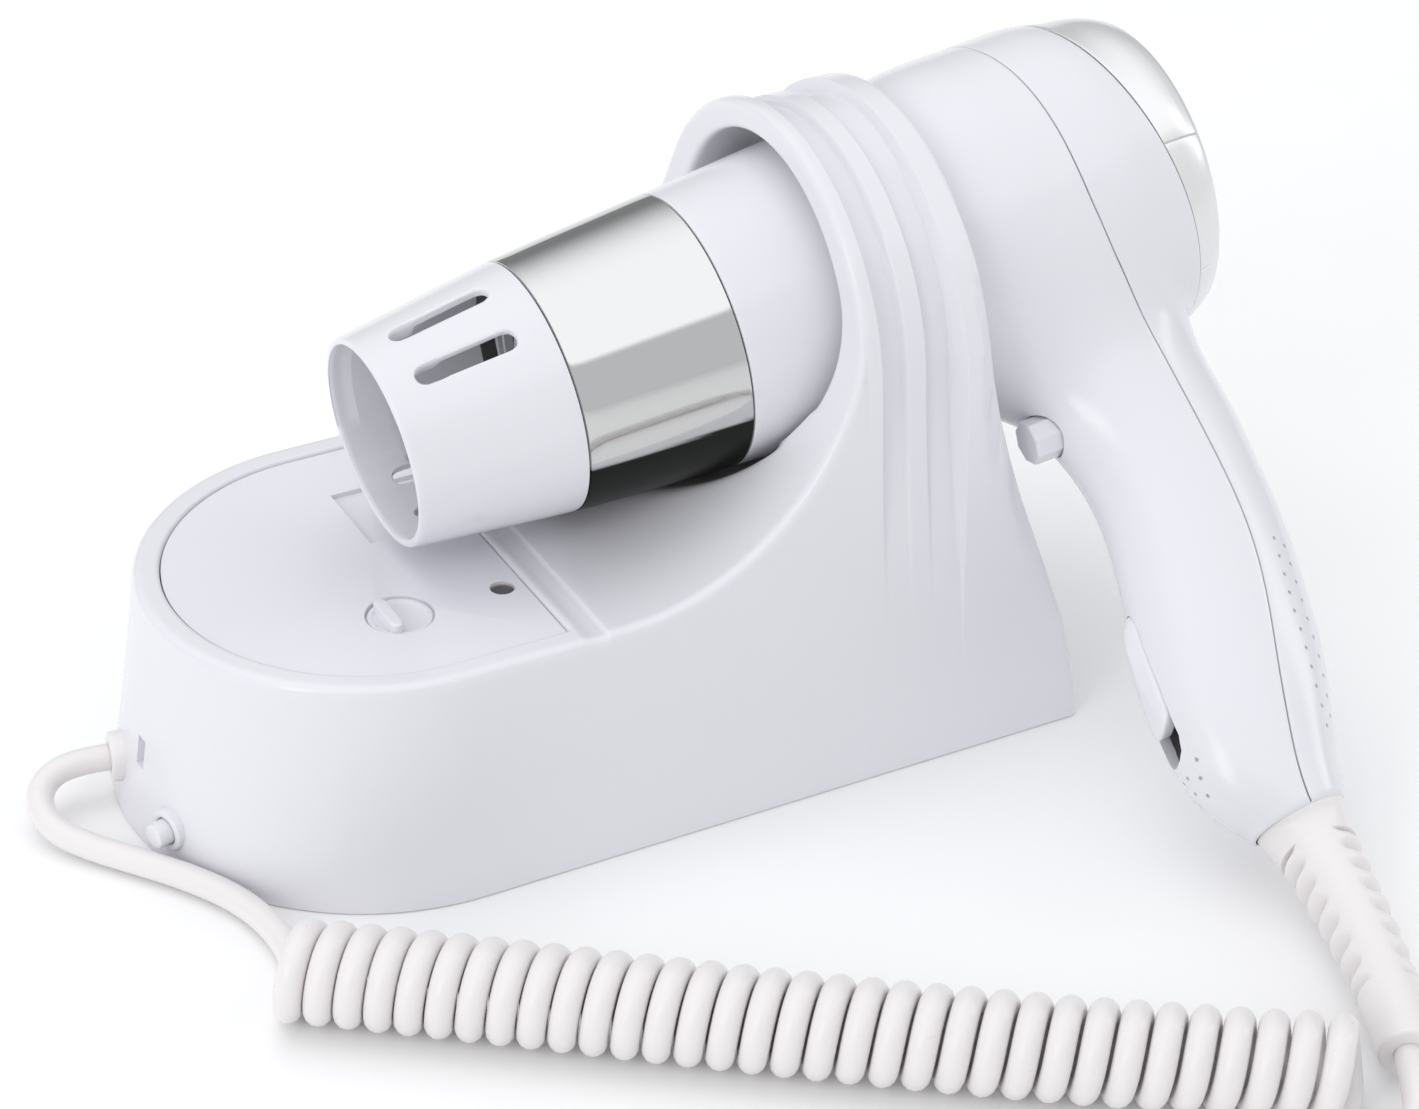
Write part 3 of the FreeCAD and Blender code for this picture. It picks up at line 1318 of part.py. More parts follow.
def motor_shaft():
    """The steel shaft that carries the fan."""
    length = SHAFT_END - SHAFT_START
    return in_dryer(cylinder(SHAFT_RADIUS, length, V(SHAFT_START, 0, 0), X_AXIS))


def motor_rubber():
    """The soft ring between the motor and its holder."""
    length = MOTOR_END - MOTOR_START - RUBBER_START - RUBBER_END
    outer = MOTOR_RADIUS + RUBBER_THICKNESS
    start = V(MOTOR_START + RUBBER_START, 0, 0)
    return in_dryer(tube(outer, MOTOR_RADIUS, length, start, X_AXIS))


def motor_holder():
    """Hub, straightening vanes and duct ring in one moulding."""
    hub_inner = MOTOR_RADIUS + RUBBER_THICKNESS
    hub_outer = hub_inner + HUB_WALL
    hub_start = V(MOTOR_START + HUB_INSET, 0, 0)
    hub = tube(hub_outer, hub_inner, VANE_END - hub_start.x, hub_start, X_AXIS)
    duct_inner = DUCT_RADIUS - DUCT_WALL
    duct = tube(DUCT_RADIUS, duct_inner, DUCT_END - DUCT_START, V(DUCT_START, 0, 0), X_AXIS)
    parts = [hub, duct]
    length = VANE_END - DUCT_START
    height = duct_inner - hub_outer + 2 * VANE_BITE
    for index in range(VANE_COUNT):
        middle = V(DUCT_START + length / 2, 0, hub_outer - VANE_BITE + height / 2)
        vane = box_at(middle, (length, VANE_THICKNESS, height))
        vane.rotate(V(0, 0, 0), X_AXIS, index * 360 / VANE_COUNT)
        parts.append(vane)
    return in_dryer(fused(parts))


def fan_blade(index):
    """One pitched blade between the hub and the tip circle."""
    middle_s = (FAN_START + FAN_END) / 2
    height = FAN_RADIUS - FAN_HUB_RADIUS + FAN_BLADE_BITE
    chord = (FAN_END - FAN_START) / math.cos(math.radians(FAN_BLADE_PITCH))
    centre = V(middle_s, 0, FAN_HUB_RADIUS - FAN_BLADE_BITE + height / 2)
    blade = box_at(centre, (chord, FAN_BLADE_THICKNESS, height))
    blade.rotate(centre, Z_AXIS, FAN_BLADE_PITCH)
    blade.rotate(V(0, 0, 0), X_AXIS, index * 360 / FAN_BLADES)
    return blade


def fan_rotor():
    """The axial fan, pressed on the shaft."""
    length = FAN_END - FAN_START
    base = V(FAN_START, 0, 0)
    hub = cylinder(FAN_HUB_RADIUS, length, base, X_AXIS)
    parts = [hub] + [fan_blade(index) for index in range(FAN_BLADES)]
    limit = cylinder(FAN_RADIUS, length, base, X_AXIS)
    rotor = fused(parts).common(limit)
    return in_dryer(rotor.cut(cylinder(SHAFT_RADIUS, length, base, X_AXIS)))


def inlet_grille():
    """The rear grille: rings and spokes inside the cap."""
    start = CAP_END - GRILLE_SINK - GRILLE_THICKNESS
    base = V(start, 0, 0)
    rim = tube(GRILLE_RADIUS, GRILLE_RADIUS - GRILLE_RIM, GRILLE_THICKNESS, base, X_AXIS)
    parts = [rim, cylinder(GRILLE_HUB, GRILLE_THICKNESS, base, X_AXIS)]
    for radius in GRILLE_RINGS:
        inner = radius - GRILLE_RING_WIDTH
        parts.append(tube(radius, inner, GRILLE_THICKNESS, base, X_AXIS))
    for index in range(GRILLE_SPOKES):
        centre = V(start + GRILLE_THICKNESS / 2, 0, GRILLE_RADIUS / 2)
        size = (GRILLE_THICKNESS, GRILLE_SPOKE, GRILLE_RADIUS - GRILLE_RIM / 2)
        spoke = box_at(centre, size)
        spoke.rotate(V(0, 0, 0), X_AXIS, index * 360 / GRILLE_SPOKES)
        parts.append(spoke)
    return in_dryer(fused(parts))


def dust_filter():
    """The fine mesh behind the grille."""
    start = CAP_END - GRILLE_SINK - GRILLE_THICKNESS - FILTER_THICKNESS
    return in_dryer(cylinder(GRILLE_RADIUS, FILTER_THICKNESS, V(start, 0, 0), X_AXIS))


# ================================================================ handle fittings
def key_prism(radius, length, start_x):
    """A many-sided prism along the push button's axis."""
    corners = []
    for index in range(KEY_SIDES):
        angle = 2 * math.pi * (index + 0.5) / KEY_SIDES
        corners.append(V(start_x, radius * math.cos(angle), radius * math.sin(angle) - KEY_T))
    return face_of(corners).extrude(V(length, 0, 0))


def push_button():
    """The faceted push button on the handle's front, with its inner flange."""
    surface = handle_front(KEY_T)
    cap = key_prism(KEY_RADIUS, KEY_PROUD + KEY_BODY, surface - KEY_PROUD)
    flange_start = surface + KEY_BODY - KEY_FLANGE - SEAM_GAP
    flange = cylinder(KEY_RADIUS + KEY_FLANGE, KEY_FLANGE, V(flange_start, 0, -KEY_T), X_AXIS)
    return in_dryer(fused([cap, flange]))


def micro_switch():
    """The switch that the push button presses."""
    centre = V(micro_switch_start() + MICRO_SWITCH[0] / 2, 0, -KEY_T)
    return in_dryer(box_at(centre, MICRO_SWITCH))


def micro_switch_start():
    """Where the push button's switch begins, behind the button at full travel."""
    return handle_front(KEY_T) + KEY_BODY + KEY_TRAVEL + SWITCH_GAP


def switch_plate():
    """The plate across the handle that carries the push button's switch."""
    start = micro_switch_start() + MICRO_SWITCH[0]
    return in_dryer(box_at(V(start + SWITCH_PLATE[0] / 2, 0, -KEY_T), SWITCH_PLATE))


def slider_block(half_width, start, end, low, high):
    """A bar that follows the handle's front face between two distances."""
    stations = [start + (end - start) * step / 4 for step in range(5)]
    outer = [V(handle_front(d) + low, 0, -d) for d in stations]
    inner = [V(handle_front(d) + high, 0, -d) for d in reversed(stations)]
    face = face_of(outer + inner)
    face.translate(V(0, -half_width, 0))
    return face.extrude(V(0, 2 * half_width, 0))


def slide_switch():
    """The sliding thumb piece with its neck towards the switch case."""
    inner = SLIDER_THICKNESS - SLIDER_PROUD
    plate = slider_block(SLIDER_HALF_WIDTH, SLIDER_START, SLIDER_END, -SLIDER_PROUD, inner)
    distance = SLIDER_END - THUMB_NOTCH_INSET
    base = V(handle_front(distance) - THUMB_NOTCH_OUT, -2 * SLIDER_HALF_WIDTH, -distance)
    notch = cylinder(THUMB_NOTCH_RADIUS, 4 * SLIDER_HALF_WIDTH, base, Y_AXIS)
    middle = (SLIDER_START + SLIDER_END) / 2
    neck_x = handle_front(middle) + SLIDER_PROUD + SLIDER_NECK / 2
    neck = box_at(V(neck_x, 0, -middle), (SLIDER_NECK, *SLIDER_NECK_SIZE))
    return in_dryer(fused([plate.cut(notch), neck]))


def switch_case_distance():
    """How far down the handle the middle of the slide switch's travel lies."""
    return (SLIDER_START + SLIDER_END + SLIDER_TRAVEL) / 2


def switch_case():
    """The slide switch's body inside the handle."""
    middle = switch_case_distance()
    front = handle_front(middle) + SLIDER_NECK + SWITCH_CASE_GAP
    centre = V(front + SWITCH_CASE[0] / 2, 0, -middle)
    return in_dryer(box_at(centre, SWITCH_CASE))


def handle_clamp():
    """The bar across the handle that grips the cord above the strain relief."""
    case_end = switch_case_distance() + SWITCH_CASE[2] / 2
    distance = case_end + HANDLE_CLAMP_GAP + HANDLE_CLAMP[2] / 2
    centre = V(handle_value(distance, 1) - HANDLE_CLAMP_SHIFT, 0, -distance)
    return in_dryer(box_at(centre, HANDLE_CLAMP))


# ================================================================ cord
def relief_curve():
    """The strain relief's centre line, from the handle's end to its own tip."""
    tip = DRYER.multVec(V(HANDLE_SECTIONS[-1][1], 0, -HANDLE_END))
    along = DRYER.Rotation.multVec(V(0, 0, -1))
    heading = V(RELIEF_HEADING)
    heading.normalize()
    poles = [tip, tip + along * RELIEF_LEAD, RELIEF_TIP - heading * RELIEF_EASE, RELIEF_TIP]
    curve = Part.BezierCurve()
    curve.setPoles(poles)
    return curve


def relief_radius(share):
    """Radius of the strain relief at a share of its centre line."""
    fall = RELIEF_ROOT_RADIUS - RELIEF_TIP_RADIUS
    return RELIEF_ROOT_RADIUS - fall * share ** RELIEF_TAPER


def circle_on(curve, share, radius):
    """A circle square to a curve at a share of its parameter."""
    along = curve.tangent(share)[0]
    return Part.Wire([Part.Circle(curve.value(share), along, radius).toShape()])


def strain_relief():
    """The tapered, ribbed sleeve that guides the cord out of the handle."""
    curve = relief_curve()
    wires = []
    for step in range(RELIEF_SECTIONS):
        share = step / (RELIEF_SECTIONS - 1)
        wires.append(circle_on(curve, share, relief_radius(share)))
    parts = [Part.makeLoft(wires, True, False)]
    for index in range(RELIEF_RIBS):
        share = RIBS_FIRST + (RIBS_LAST - RIBS_FIRST) * index / (RELIEF_RIBS - 1)
        parts.append(relief_rib(curve, share))
    root = curve.value(0)
    inward = curve.tangent(0)[0] * -1
    parts.append(cylinder(RELIEF_HEAD_RADIUS - FITTING_PLAY, RELIEF_HEAD_LENGTH, root, inward))
    return fused(parts)


def relief_rib(curve, share):
    """One raised ring of the strain relief."""
    along = curve.tangent(share)[0]
    centre = curve.value(share)
    radius = relief_radius(share) + RELIEF_RIB_RISE
    base = centre - along * (RELIEF_RIB_THICKNESS / 2)
    return cylinder(radius, RELIEF_RIB_THICKNESS, base, along)


def arc_radius(before, corner, after):
    """Bend radius at one point of a cord route, and half the turn there."""
    first = corner - before
    second = after - corner
    turn = first.getAngle(second)
    shorter = min(first.Length, second.Length)
    return ROUTE_ROUNDING * shorter / math.tan(turn / 2), turn


def cord_path(points):
    """Straight runs joined by arcs tangent to both, as one wire."""
    edges = []
    start = points[0]
    for before, corner, after in zip(points, points[1:], points[2:]):
        radius, turn = arc_radius(before, corner, after)
        inward = (before - corner).normalize()
        onward = (after - corner).normalize()
        reach = radius * math.tan(turn / 2)
        first = corner + inward * reach
        last = corner + onward * reach
        middle = (inward + onward).normalize()
        bulge = corner + middle * (radius / math.cos(turn / 2) - radius)
        edges.append(Part.LineSegment(start, first).toShape())
        edges.append(Part.Arc(first, bulge, last).toShape())
        start = last
    edges.append(Part.LineSegment(start, points[-1]).toShape())
    return Part.Wire(edges)


def cord_tube(name, route, radius):
    """Sweep a round section along a route and report its bends."""
    points = [V(point) for point in route]
    path = cord_path(points)
    along = points[1] - points[0]
    section = Part.Wire([Part.Circle(points[0], along, radius).toShape()])
    solid = path.makePipeShell([section], True, False)
    radii = [round(arc_radius(a, b, c)[0], 1) for a, b, c in zip(points, points[1:], points[2:])]
    share = solid.Volume / (math.pi * radius * radius * path.Length)
    print(name, "length", round(path.Length, 1), "bend radii", radii)
    print(name, "volume share", round(share, 4))
    return solid


def wall_lead_route():
    """The lead's points, starting square to the gland's outer face."""
    point, outward = end_wall_frame(GLAND_TURN, GLAND_HEIGHT)
    start = point + outward * GLAND_FLANGE
    return [start, start + outward * LEAD_OUT] + [V(place) for place in WALL_LEAD_ROUTE]


def tip_lead_route():
    """The short lead's points, starting square to the strain relief's tip."""
    heading = V(RELIEF_HEADING)
    heading.normalize()
    start = V(RELIEF_TIP)
    return [start, start + heading * TIP_OUT] + [V(place) for place in TIP_LEAD_ROUTE]


# ================================================================ all nodes
def holder_nodes():
    """Every piece of the holder."""
    return {
        "holder_shell": holder_shell(),
        "wall_plate": wall_plate(),
        "wall_plate_screws": wall_plate_screws(),
        "cover_plate": cover_plate(),
        "socket_block": socket_block(),
        "socket_contacts": socket_contacts(),
        "pilot_lamp": pilot_lamp(),
        "control_board": control_board(),
        "selector_switch": selector_switch(),
        "selector_knob": selector_knob(),
        "transformer_core": transformer_core(),
        "transformer_winding": transformer_winding(),
        "transformer_bracket": transformer_bracket(),
        "transformer_screws": transformer_screws(),
        "terminal_block": terminal_block(),
        "cord_gland": cord_gland(),
        "gland_clamp": gland_clamp(),
        "main_button": main_button(),
        "button_switch": button_switch(),
    }


def dryer_nodes():
    """Every piece of the dryer."""
    return {
        "nozzle_tube": nozzle_tube(),
        "outlet_grille": outlet_grille(),
        "chrome_band": chrome_band(),
        "front_housing": front_housing(),
        "rear_housing": rear_housing(),
        "rear_cap": rear_cap(),
        "inlet_grille": inlet_grille(),
        "dust_filter": dust_filter(),
        "handle_screws": handle_screws(),
        "heater_sleeve": heater_sleeve(),
        "heater_frame": heater_frame(),
        "heating_coils": heating_coils(),
        "thermal_cutout": thermal_cutout(),
        "motor_can": motor_can(),
        "motor_bushes": motor_bushes(),
        "motor_rubber": motor_rubber(),
        "motor_holder": motor_holder(),
        "motor_shaft": motor_shaft(),
        "fan_rotor": fan_rotor(),
        "push_button": push_button(),
        "micro_switch": micro_switch(),
        "switch_plate": switch_plate(),
        "slide_switch": slide_switch(),
        "switch_case": switch_case(),
        "handle_clamp": handle_clamp(),
        "strain_relief": strain_relief(),
    }


def cord_nodes():
    """The curled cord and its two straight leads."""
    return {
        "wall_lead": cord_tube("wall_lead", wall_lead_route(), CORD_RADIUS),
        "curled_cord": cord_tube("curled_cord", COIL_ROUTE, COIL_CORD_RADIUS),
        "tip_lead": cord_tube("tip_lead", tip_lead_route(), CORD_RADIUS),
    }


def main():
    os.makedirs("parts", exist_ok=True)
    for nodes in (holder_nodes(), dryer_nodes(), cord_nodes()):
        for name, shape in nodes.items():
            save(name, shape)


main()
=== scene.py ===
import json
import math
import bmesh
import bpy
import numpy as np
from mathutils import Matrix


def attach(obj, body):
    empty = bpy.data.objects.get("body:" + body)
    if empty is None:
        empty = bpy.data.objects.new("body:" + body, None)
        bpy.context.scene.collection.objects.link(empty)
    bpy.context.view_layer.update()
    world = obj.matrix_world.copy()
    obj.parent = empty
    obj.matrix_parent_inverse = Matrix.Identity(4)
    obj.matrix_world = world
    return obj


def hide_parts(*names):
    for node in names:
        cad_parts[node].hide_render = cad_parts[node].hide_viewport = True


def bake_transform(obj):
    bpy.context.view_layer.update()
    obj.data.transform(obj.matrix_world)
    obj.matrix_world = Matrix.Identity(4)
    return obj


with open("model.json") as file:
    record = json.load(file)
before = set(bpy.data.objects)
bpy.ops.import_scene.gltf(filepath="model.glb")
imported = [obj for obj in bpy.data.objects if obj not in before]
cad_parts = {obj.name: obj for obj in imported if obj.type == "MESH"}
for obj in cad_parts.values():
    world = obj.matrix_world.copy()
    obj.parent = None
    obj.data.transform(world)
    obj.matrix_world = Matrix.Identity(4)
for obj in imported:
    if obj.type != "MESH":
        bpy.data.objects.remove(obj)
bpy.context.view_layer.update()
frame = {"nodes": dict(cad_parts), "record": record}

# %% [markdown]
# # A wall-mounted hair dryer in its holder
# The working parts are already here as the frame: every body, joint and hidden piece.
# This lesson gives the object its skin. Each visible piece is a surface worked out with numpy,
# because moulded plastic is made of long, even curves that meet in small rounded edges.
# All shapes below are in millimetres, counted from the tip of the holder's round end, and
# are turned into metres about the wall screws only when the mesh is made.

SCREWS_MIDDLE = np.array((100.0, 0.0, 0.0))


def in_metres(points):
    """Millimetres from the round end's tip become metres from the wall screws' middle."""
    return (np.asarray(points, float) - SCREWS_MIDDLE) / 1000.0


def unit(vectors):
    """Each vector divided by its own length."""
    return vectors / np.maximum(np.linalg.norm(vectors, axis=-1, keepdims=True), 1e-12)


def points_of(*coordinates):
    """Points from their coordinates, each of which may be a number, a row or a whole grid."""
    return np.stack(np.broadcast_arrays(*coordinates), -1)


def full_circle(steps):
    """Evenly spaced turns once round, in radians."""
    return np.linspace(0, 2 * np.pi, steps, endpoint=False)


def grid_faces(rows, columns, closed=False):
    """Four-sided faces between neighbouring points of a grid, numbered row by row."""
    row = np.arange(rows - 1)[:, None]
    column = np.arange(columns if closed else columns - 1)[None]
    after = (column + 1) % columns
    first, second = row * columns + column, row * columns + after
    return np.stack([first, second, second + columns, first + columns], -1).reshape(-1, 4)


def grid_part(points, closed=False):
    """A grid of points, rows by columns by three, as a list of points and faces."""
    rows, columns = points.shape[:2]
    return points.reshape(-1, points.shape[2]), grid_faces(rows, columns, closed)


def joined(parts):
    """Several lists of points and faces as one."""
    starts = np.cumsum([0] + [len(points) for points, faces in parts])
    points = np.concatenate([points for points, faces in parts])
    return points, np.concatenate([faces + start for (_, faces), start in zip(parts, starts)])


CREASE = 35.0


def shaded(mesh, crease=CREASE):
    """Smooth, but for the edges whose faces turn by more than the crease angle in degrees."""
    mesh.shade_smooth()
    mesh.set_sharp_from_angle(angle=math.radians(crease))


def placed(name, data):
    """An object for a mesh, a lamp or a camera, at the origin and unturned."""
    thing = bpy.data.objects.new(name, data)
    bpy.context.scene.collection.objects.link(thing)
    return thing


def stand(thing, side, up, back, place):
    """Turn a lamp or the camera so that its own axes lie along three directions, at a place."""
    pose = np.eye(4)
    pose[:3, :3] = np.stack([side, up, back], 1)
    pose[:3, 3] = place
    thing.matrix_world = Matrix(pose.tolist())


def make_piece(name, points, faces, finish, body, slot, replaced=(), wall=0.0, crease=CREASE,
               weld=2e-6):
    """A mesh from points in millimetres: doubles welded, edges under a quarter of the weld taken
    out, faces turned outwards, then, where a wall is asked for, given that thickness inwards."""
    mesh = bpy.data.meshes.new(name)
    mesh.from_pydata(in_metres(points).tolist(), [], np.asarray(faces).tolist())
    work = bmesh.new()
    work.from_mesh(mesh)
    bmesh.ops.remove_doubles(work, verts=work.verts, dist=weld)
    bmesh.ops.dissolve_degenerate(work, edges=work.edges, dist=weld / 4)
    bmesh.ops.recalc_face_normals(work, faces=work.faces)
    work.to_mesh(mesh)
    work.free()
    shaded(mesh, crease)
    piece = placed(name, mesh)
    mesh.materials.append(finish)
    if wall:
        thick = piece.modifiers.new("wall", "SOLIDIFY")
        thick.thickness = wall / 1000.0
        thick.offset = -1.0
        thick.use_even_offset = False
    if body:
        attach(piece, body)
    if replaced:
        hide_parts(*replaced)
    print(name, len(mesh.vertices), "points,", len(mesh.polygons), "faces")
    return piece


# %% [markdown]
# ## The camera
# The object is seen from the front left and from above, from a little under a metre away.
# A long lens keeps the holder's straight sides nearly parallel. The camera is placed by its
# turn, its tilt and its distance from one point in the middle of the holder.

# %% Place the camera
LOOK_AT = np.array((110.0, 0.0, 60.0))
TURN, TILT, ROLL = np.radians((-28.46, 32.79, 0.85))
DISTANCE = 846.7
SIDE_SHIFT, HIGH_SHIFT = -23.03, 21.17
LENS = 101.5

backward = np.array((np.sin(TURN) * np.cos(TILT), -np.cos(TURN) * np.cos(TILT), np.sin(TILT)))
level_right = unit(np.cross((0.0, 0.0, 1.0), backward))
level_up = np.cross(backward, level_right)
right = np.cos(ROLL) * level_right + np.sin(ROLL) * level_up
upward = -np.sin(ROLL) * level_right + np.cos(ROLL) * level_up
seat = LOOK_AT - right * SIDE_SHIFT - upward * HIGH_SHIFT + backward * DISTANCE

camera_data = bpy.data.cameras.new("camera")
camera_data.lens = LENS
camera_data.sensor_width = 36.0
camera_data.clip_start = 0.02
camera_data.clip_end = 50.0
camera = placed("camera", camera_data)
stand(camera, right, upward, backward, in_metres(seat))
bpy.context.scene.camera = camera
print("camera stands at", np.round(in_metres(seat), 3))

# %% [markdown]
# ## The finishes
# White ABS from a polished mould is cool, glossy and very slightly uneven, as cooling plastic
# draws in. The cord's soft PVC is warmer. The barrel has a polished metal sleeve, and the rear
# cap is lacquered pearl silver. Each finish is a node material: a base colour with faint
# clouding, a roughness that varies a little, and a fine bump. Object coordinates carry the
# pattern, so that it stays on the piece in every pose.

# %% A helper that makes a moulded or coated finish
def finish(name, colour, roughness, grain=900.0, bump=0.02, clouding=0.03, spread=0.05,
           metallic=0.0, coat=0.0):
    """Principled surface; a wide noise clouds the colour, a fine one varies gloss and bump."""
    material = bpy.data.materials.new(name)
    material.use_nodes = True
    nodes, links = material.node_tree.nodes, material.node_tree.links
    surface = nodes["Principled BSDF"]
    place = nodes.new("ShaderNodeTexCoord")
    cloud = nodes.new("ShaderNodeTexNoise")
    cloud.inputs["Scale"].default_value = 18.0
    cloud.inputs["Detail"].default_value = 2.0
    fine = nodes.new("ShaderNodeTexNoise")
    fine.inputs["Scale"].default_value = grain
    fine.inputs["Detail"].default_value = 3.0
    tint = nodes.new("ShaderNodeMix")
    tint.data_type = "RGBA"
    tint.inputs["A"].default_value = (*colour, 1.0)
    tint.inputs["B"].default_value = (*[c * (1.0 - clouding) for c in colour], 1.0)
    gloss = nodes.new("ShaderNodeMapRange")
    gloss.inputs["To Min"].default_value = roughness * (1.0 - spread)
    gloss.inputs["To Max"].default_value = roughness * (1.0 + spread)
    relief = nodes.new("ShaderNodeBump")
    relief.inputs["Strength"].default_value = bump
    relief.inputs["Distance"].default_value = 0.0002
    for noise in (cloud, fine):
        links.new(place.outputs["Object"], noise.inputs["Vector"])
    links.new(cloud.outputs["Fac"], tint.inputs["Factor"])
    links.new(tint.outputs["Result"], surface.inputs["Base Color"])
    links.new(fine.outputs["Fac"], gloss.inputs["Value"])
    links.new(gloss.outputs["Result"], surface.inputs["Roughness"])
    links.new(fine.outputs["Fac"], relief.inputs["Height"])
    links.new(relief.outputs["Normal"], surface.inputs["Normal"])
    surface.inputs["Metallic"].default_value = metallic
    surface.inputs["Coat Weight"].default_value = coat
    return material

# %% All the finishes
white_shell = finish("glossy_white_abs", (0.775, 0.775, 0.815), 0.2, bump=0.012)
white_cover = finish("satin_white_cover", (0.79, 0.79, 0.835), 0.34, grain=1400.0, bump=0.02)
white_inside = finish("white_inside", (0.66, 0.66, 0.70), 0.5, bump=0.02)
white_cord = finish("soft_white_cord", (0.82, 0.79, 0.785), 0.28, grain=500.0, bump=0.02)
white_relief = finish("soft_white_relief", (0.83, 0.80, 0.80), 0.33, grain=600.0, bump=0.02)
polished = finish("polished_band", (0.62, 0.62, 0.615), 0.07, grain=250.0, bump=0.01,
                  metallic=1.0)
pearl = finish("pearl_silver_cap", (0.80, 0.80, 0.805), 0.3, grain=2500.0, bump=0.04,
               clouding=0.05, metallic=0.4, coat=0.5)
steel = finish("plated_steel", (0.60, 0.60, 0.61), 0.3, bump=0.05, metallic=1.0)
brass = finish("brass", (0.78, 0.60, 0.28), 0.3, bump=0.05, metallic=1.0)
grey_plastic = finish("grey_plastic", (0.45, 0.45, 0.47), 0.5, bump=0.05)
black_plastic = finish("black_plastic", (0.03, 0.03, 0.032), 0.45, bump=0.05)
lamp_lens = finish("smoked_lamp_lens", (0.10, 0.09, 0.095), 0.15)
board_green = finish("circuit_board", (0.06, 0.22, 0.10), 0.4, bump=0.05)
core_iron = finish("stacked_iron", (0.16, 0.15, 0.15), 0.55, bump=0.2, metallic=0.6)
copper = finish("enamelled_copper", (0.55, 0.26, 0.10), 0.3, grain=1600.0, bump=0.1, metallic=0.8)
mica = finish("mica_board", (0.62, 0.55, 0.40), 0.45, bump=0.1, clouding=0.2)
wire = finish("oxidised_wire", (0.30, 0.28, 0.26), 0.5, bump=0.1, metallic=0.8)
mesh_black = finish("filter_mesh", (0.04, 0.04, 0.04), 0.7, grain=3000.0, bump=0.5)
rubber = finish("soft_rubber", (0.04, 0.04, 0.04), 0.7, bump=0.1)
print("finishes from", white_shell.name, "to", rubber.name, "are ready")

# %% [markdown]
# ## The band's painted dark reflection
# A polished sleeve over a white holder shows a sharp dark zone along its underside, a dark
# reflection. A mirrored surround alone leaves that zone too pale, so the reflection is painted: the
# band's finish mixes in a nearly black, weakly glossy surface. How much painted reflection each
# point of the band takes is written on it when it is built.

# %% Mix the painted dark reflection in where the band says so
bright = polished.node_tree
below = bright.nodes.new("ShaderNodeAttribute")
below.attribute_name = "painted_reflection_share"
# Painted dark reflection: a nearly black, weakly glossy surface that stands in for what the band
# mirrors along its underside.
painted_dark_reflection = bright.nodes.new("ShaderNodeBsdfPrincipled")
painted_dark_reflection.inputs["Base Color"].default_value = (0.006, 0.007, 0.005, 1.0)
painted_dark_reflection.inputs["Specular IOR Level"].default_value = 0.12
painted_dark_reflection.inputs["Roughness"].default_value = 0.3
both_sides = bright.nodes.new("ShaderNodeMixShader")
surface = bright.nodes["Principled BSDF"]
to_output = surface.outputs["BSDF"].links[0].to_socket
bright.links.new(below.outputs["Fac"], both_sides.inputs[0])
bright.links.new(surface.outputs["BSDF"], both_sides.inputs[1])
bright.links.new(painted_dark_reflection.outputs["BSDF"], both_sides.inputs[2])
bright.links.new(both_sides.outputs["Shader"], to_output)
print("the band's finish reads", below.attribute_name)

# %% [markdown]
# ## The hidden pieces
# Motor, heater, boards and screws show only through slots and grille, so their plain shapes
# from the frame are enough. Each takes the finish of the slot that its record names. The three
# that are seen through the mouth take the pale finish of a moulding's inside.

# %% Every piece of the frame takes its own finish first
BY_SLOT = {
    "white_shell": white_shell, "white_cover": white_cover, "bright_band": polished,
    "silver_cap": pearl, "white_cord": white_cord, "white_relief": white_relief,
    "lamp_lens": lamp_lens, "grey_plastic": grey_plastic, "black_plastic": black_plastic,
    "board": board_green, "steel": steel, "core_iron": core_iron, "winding": copper,
    "brass": brass, "mica": mica, "heating_wire": wire, "filter_mesh": mesh_black,
    "soft_rubber": rubber,
}
slot_of = {part["node"]: part["material_slot"] for part in frame["record"]["subparts"]}
for node, thing in frame["nodes"].items():
    thing.data.materials.clear()
    thing.data.materials.append(BY_SLOT[slot_of[node]])
for node in ("outlet_grille", "heater_sleeve", "heater_frame"):
    frame["nodes"][node].data.materials[0] = white_inside
print(len(frame["nodes"]), "pieces of the frame have their finish")

# %% [markdown]
# ## Floor and light
# A wide white table and soft lamps, as in a product studio. A large lamp overhead and a low one
# at the left only light the object: gloss does not show them. A narrow lamp at the left front
# and one at the right rim are meant to be mirrored, as the thin bright lines on the plastic.

# %% Lay the floor and hang the lamps
FLOOR_HALF, FLOOR_DROP = 6.0, 0.0003
floor_mesh = bpy.data.meshes.new("floor")
floor_mesh.from_pydata([(x * FLOOR_HALF, y * FLOOR_HALF, -FLOOR_DROP)
                        for x, y in ((-1, -1), (1, -1), (1, 1), (-1, 1))], [], [(0, 1, 2, 3)])
floor = placed("floor", floor_mesh)
floor_mesh.materials.append(finish("studio_table", (0.965, 0.965, 0.965), 0.9, grain=50.0))


def soft_lamp(name, place, width, height, power, mirrored=True):
    """A rectangular lamp at a place in metres that faces the object's middle."""
    lamp_data = bpy.data.lights.new(name, "AREA")
    lamp_data.shape = "RECTANGLE"
    lamp_data.size, lamp_data.size_y = width, height
    lamp_data.energy = power
    lamp = placed(name, lamp_data)
    lamp.visible_glossy = mirrored
    back = unit(np.array(place, float) - LIT_MIDDLE)
    side = unit(np.cross((0.0, 0.0, 1.0), back))
    stand(lamp, side, np.cross(back, side), back, place)
    print(name, "lamp,", power, "W")


LIT_MIDDLE = np.array((0.02, -0.05, 0.06))
soft_lamp("overhead", (-0.15, 0.35, 1.5), 1.4, 1.0, 4.6, mirrored=False)
soft_lamp("low_fill", (-1.5, -0.35, 0.5), 0.7, 1.0, 2.6, mirrored=False)
soft_lamp("left_front", (-1.2, -0.7, 0.8), 0.34, 0.8, 2.6)
soft_lamp("right_rim", (1.3, -0.3, 0.65), 0.25, 0.7, 1.3)

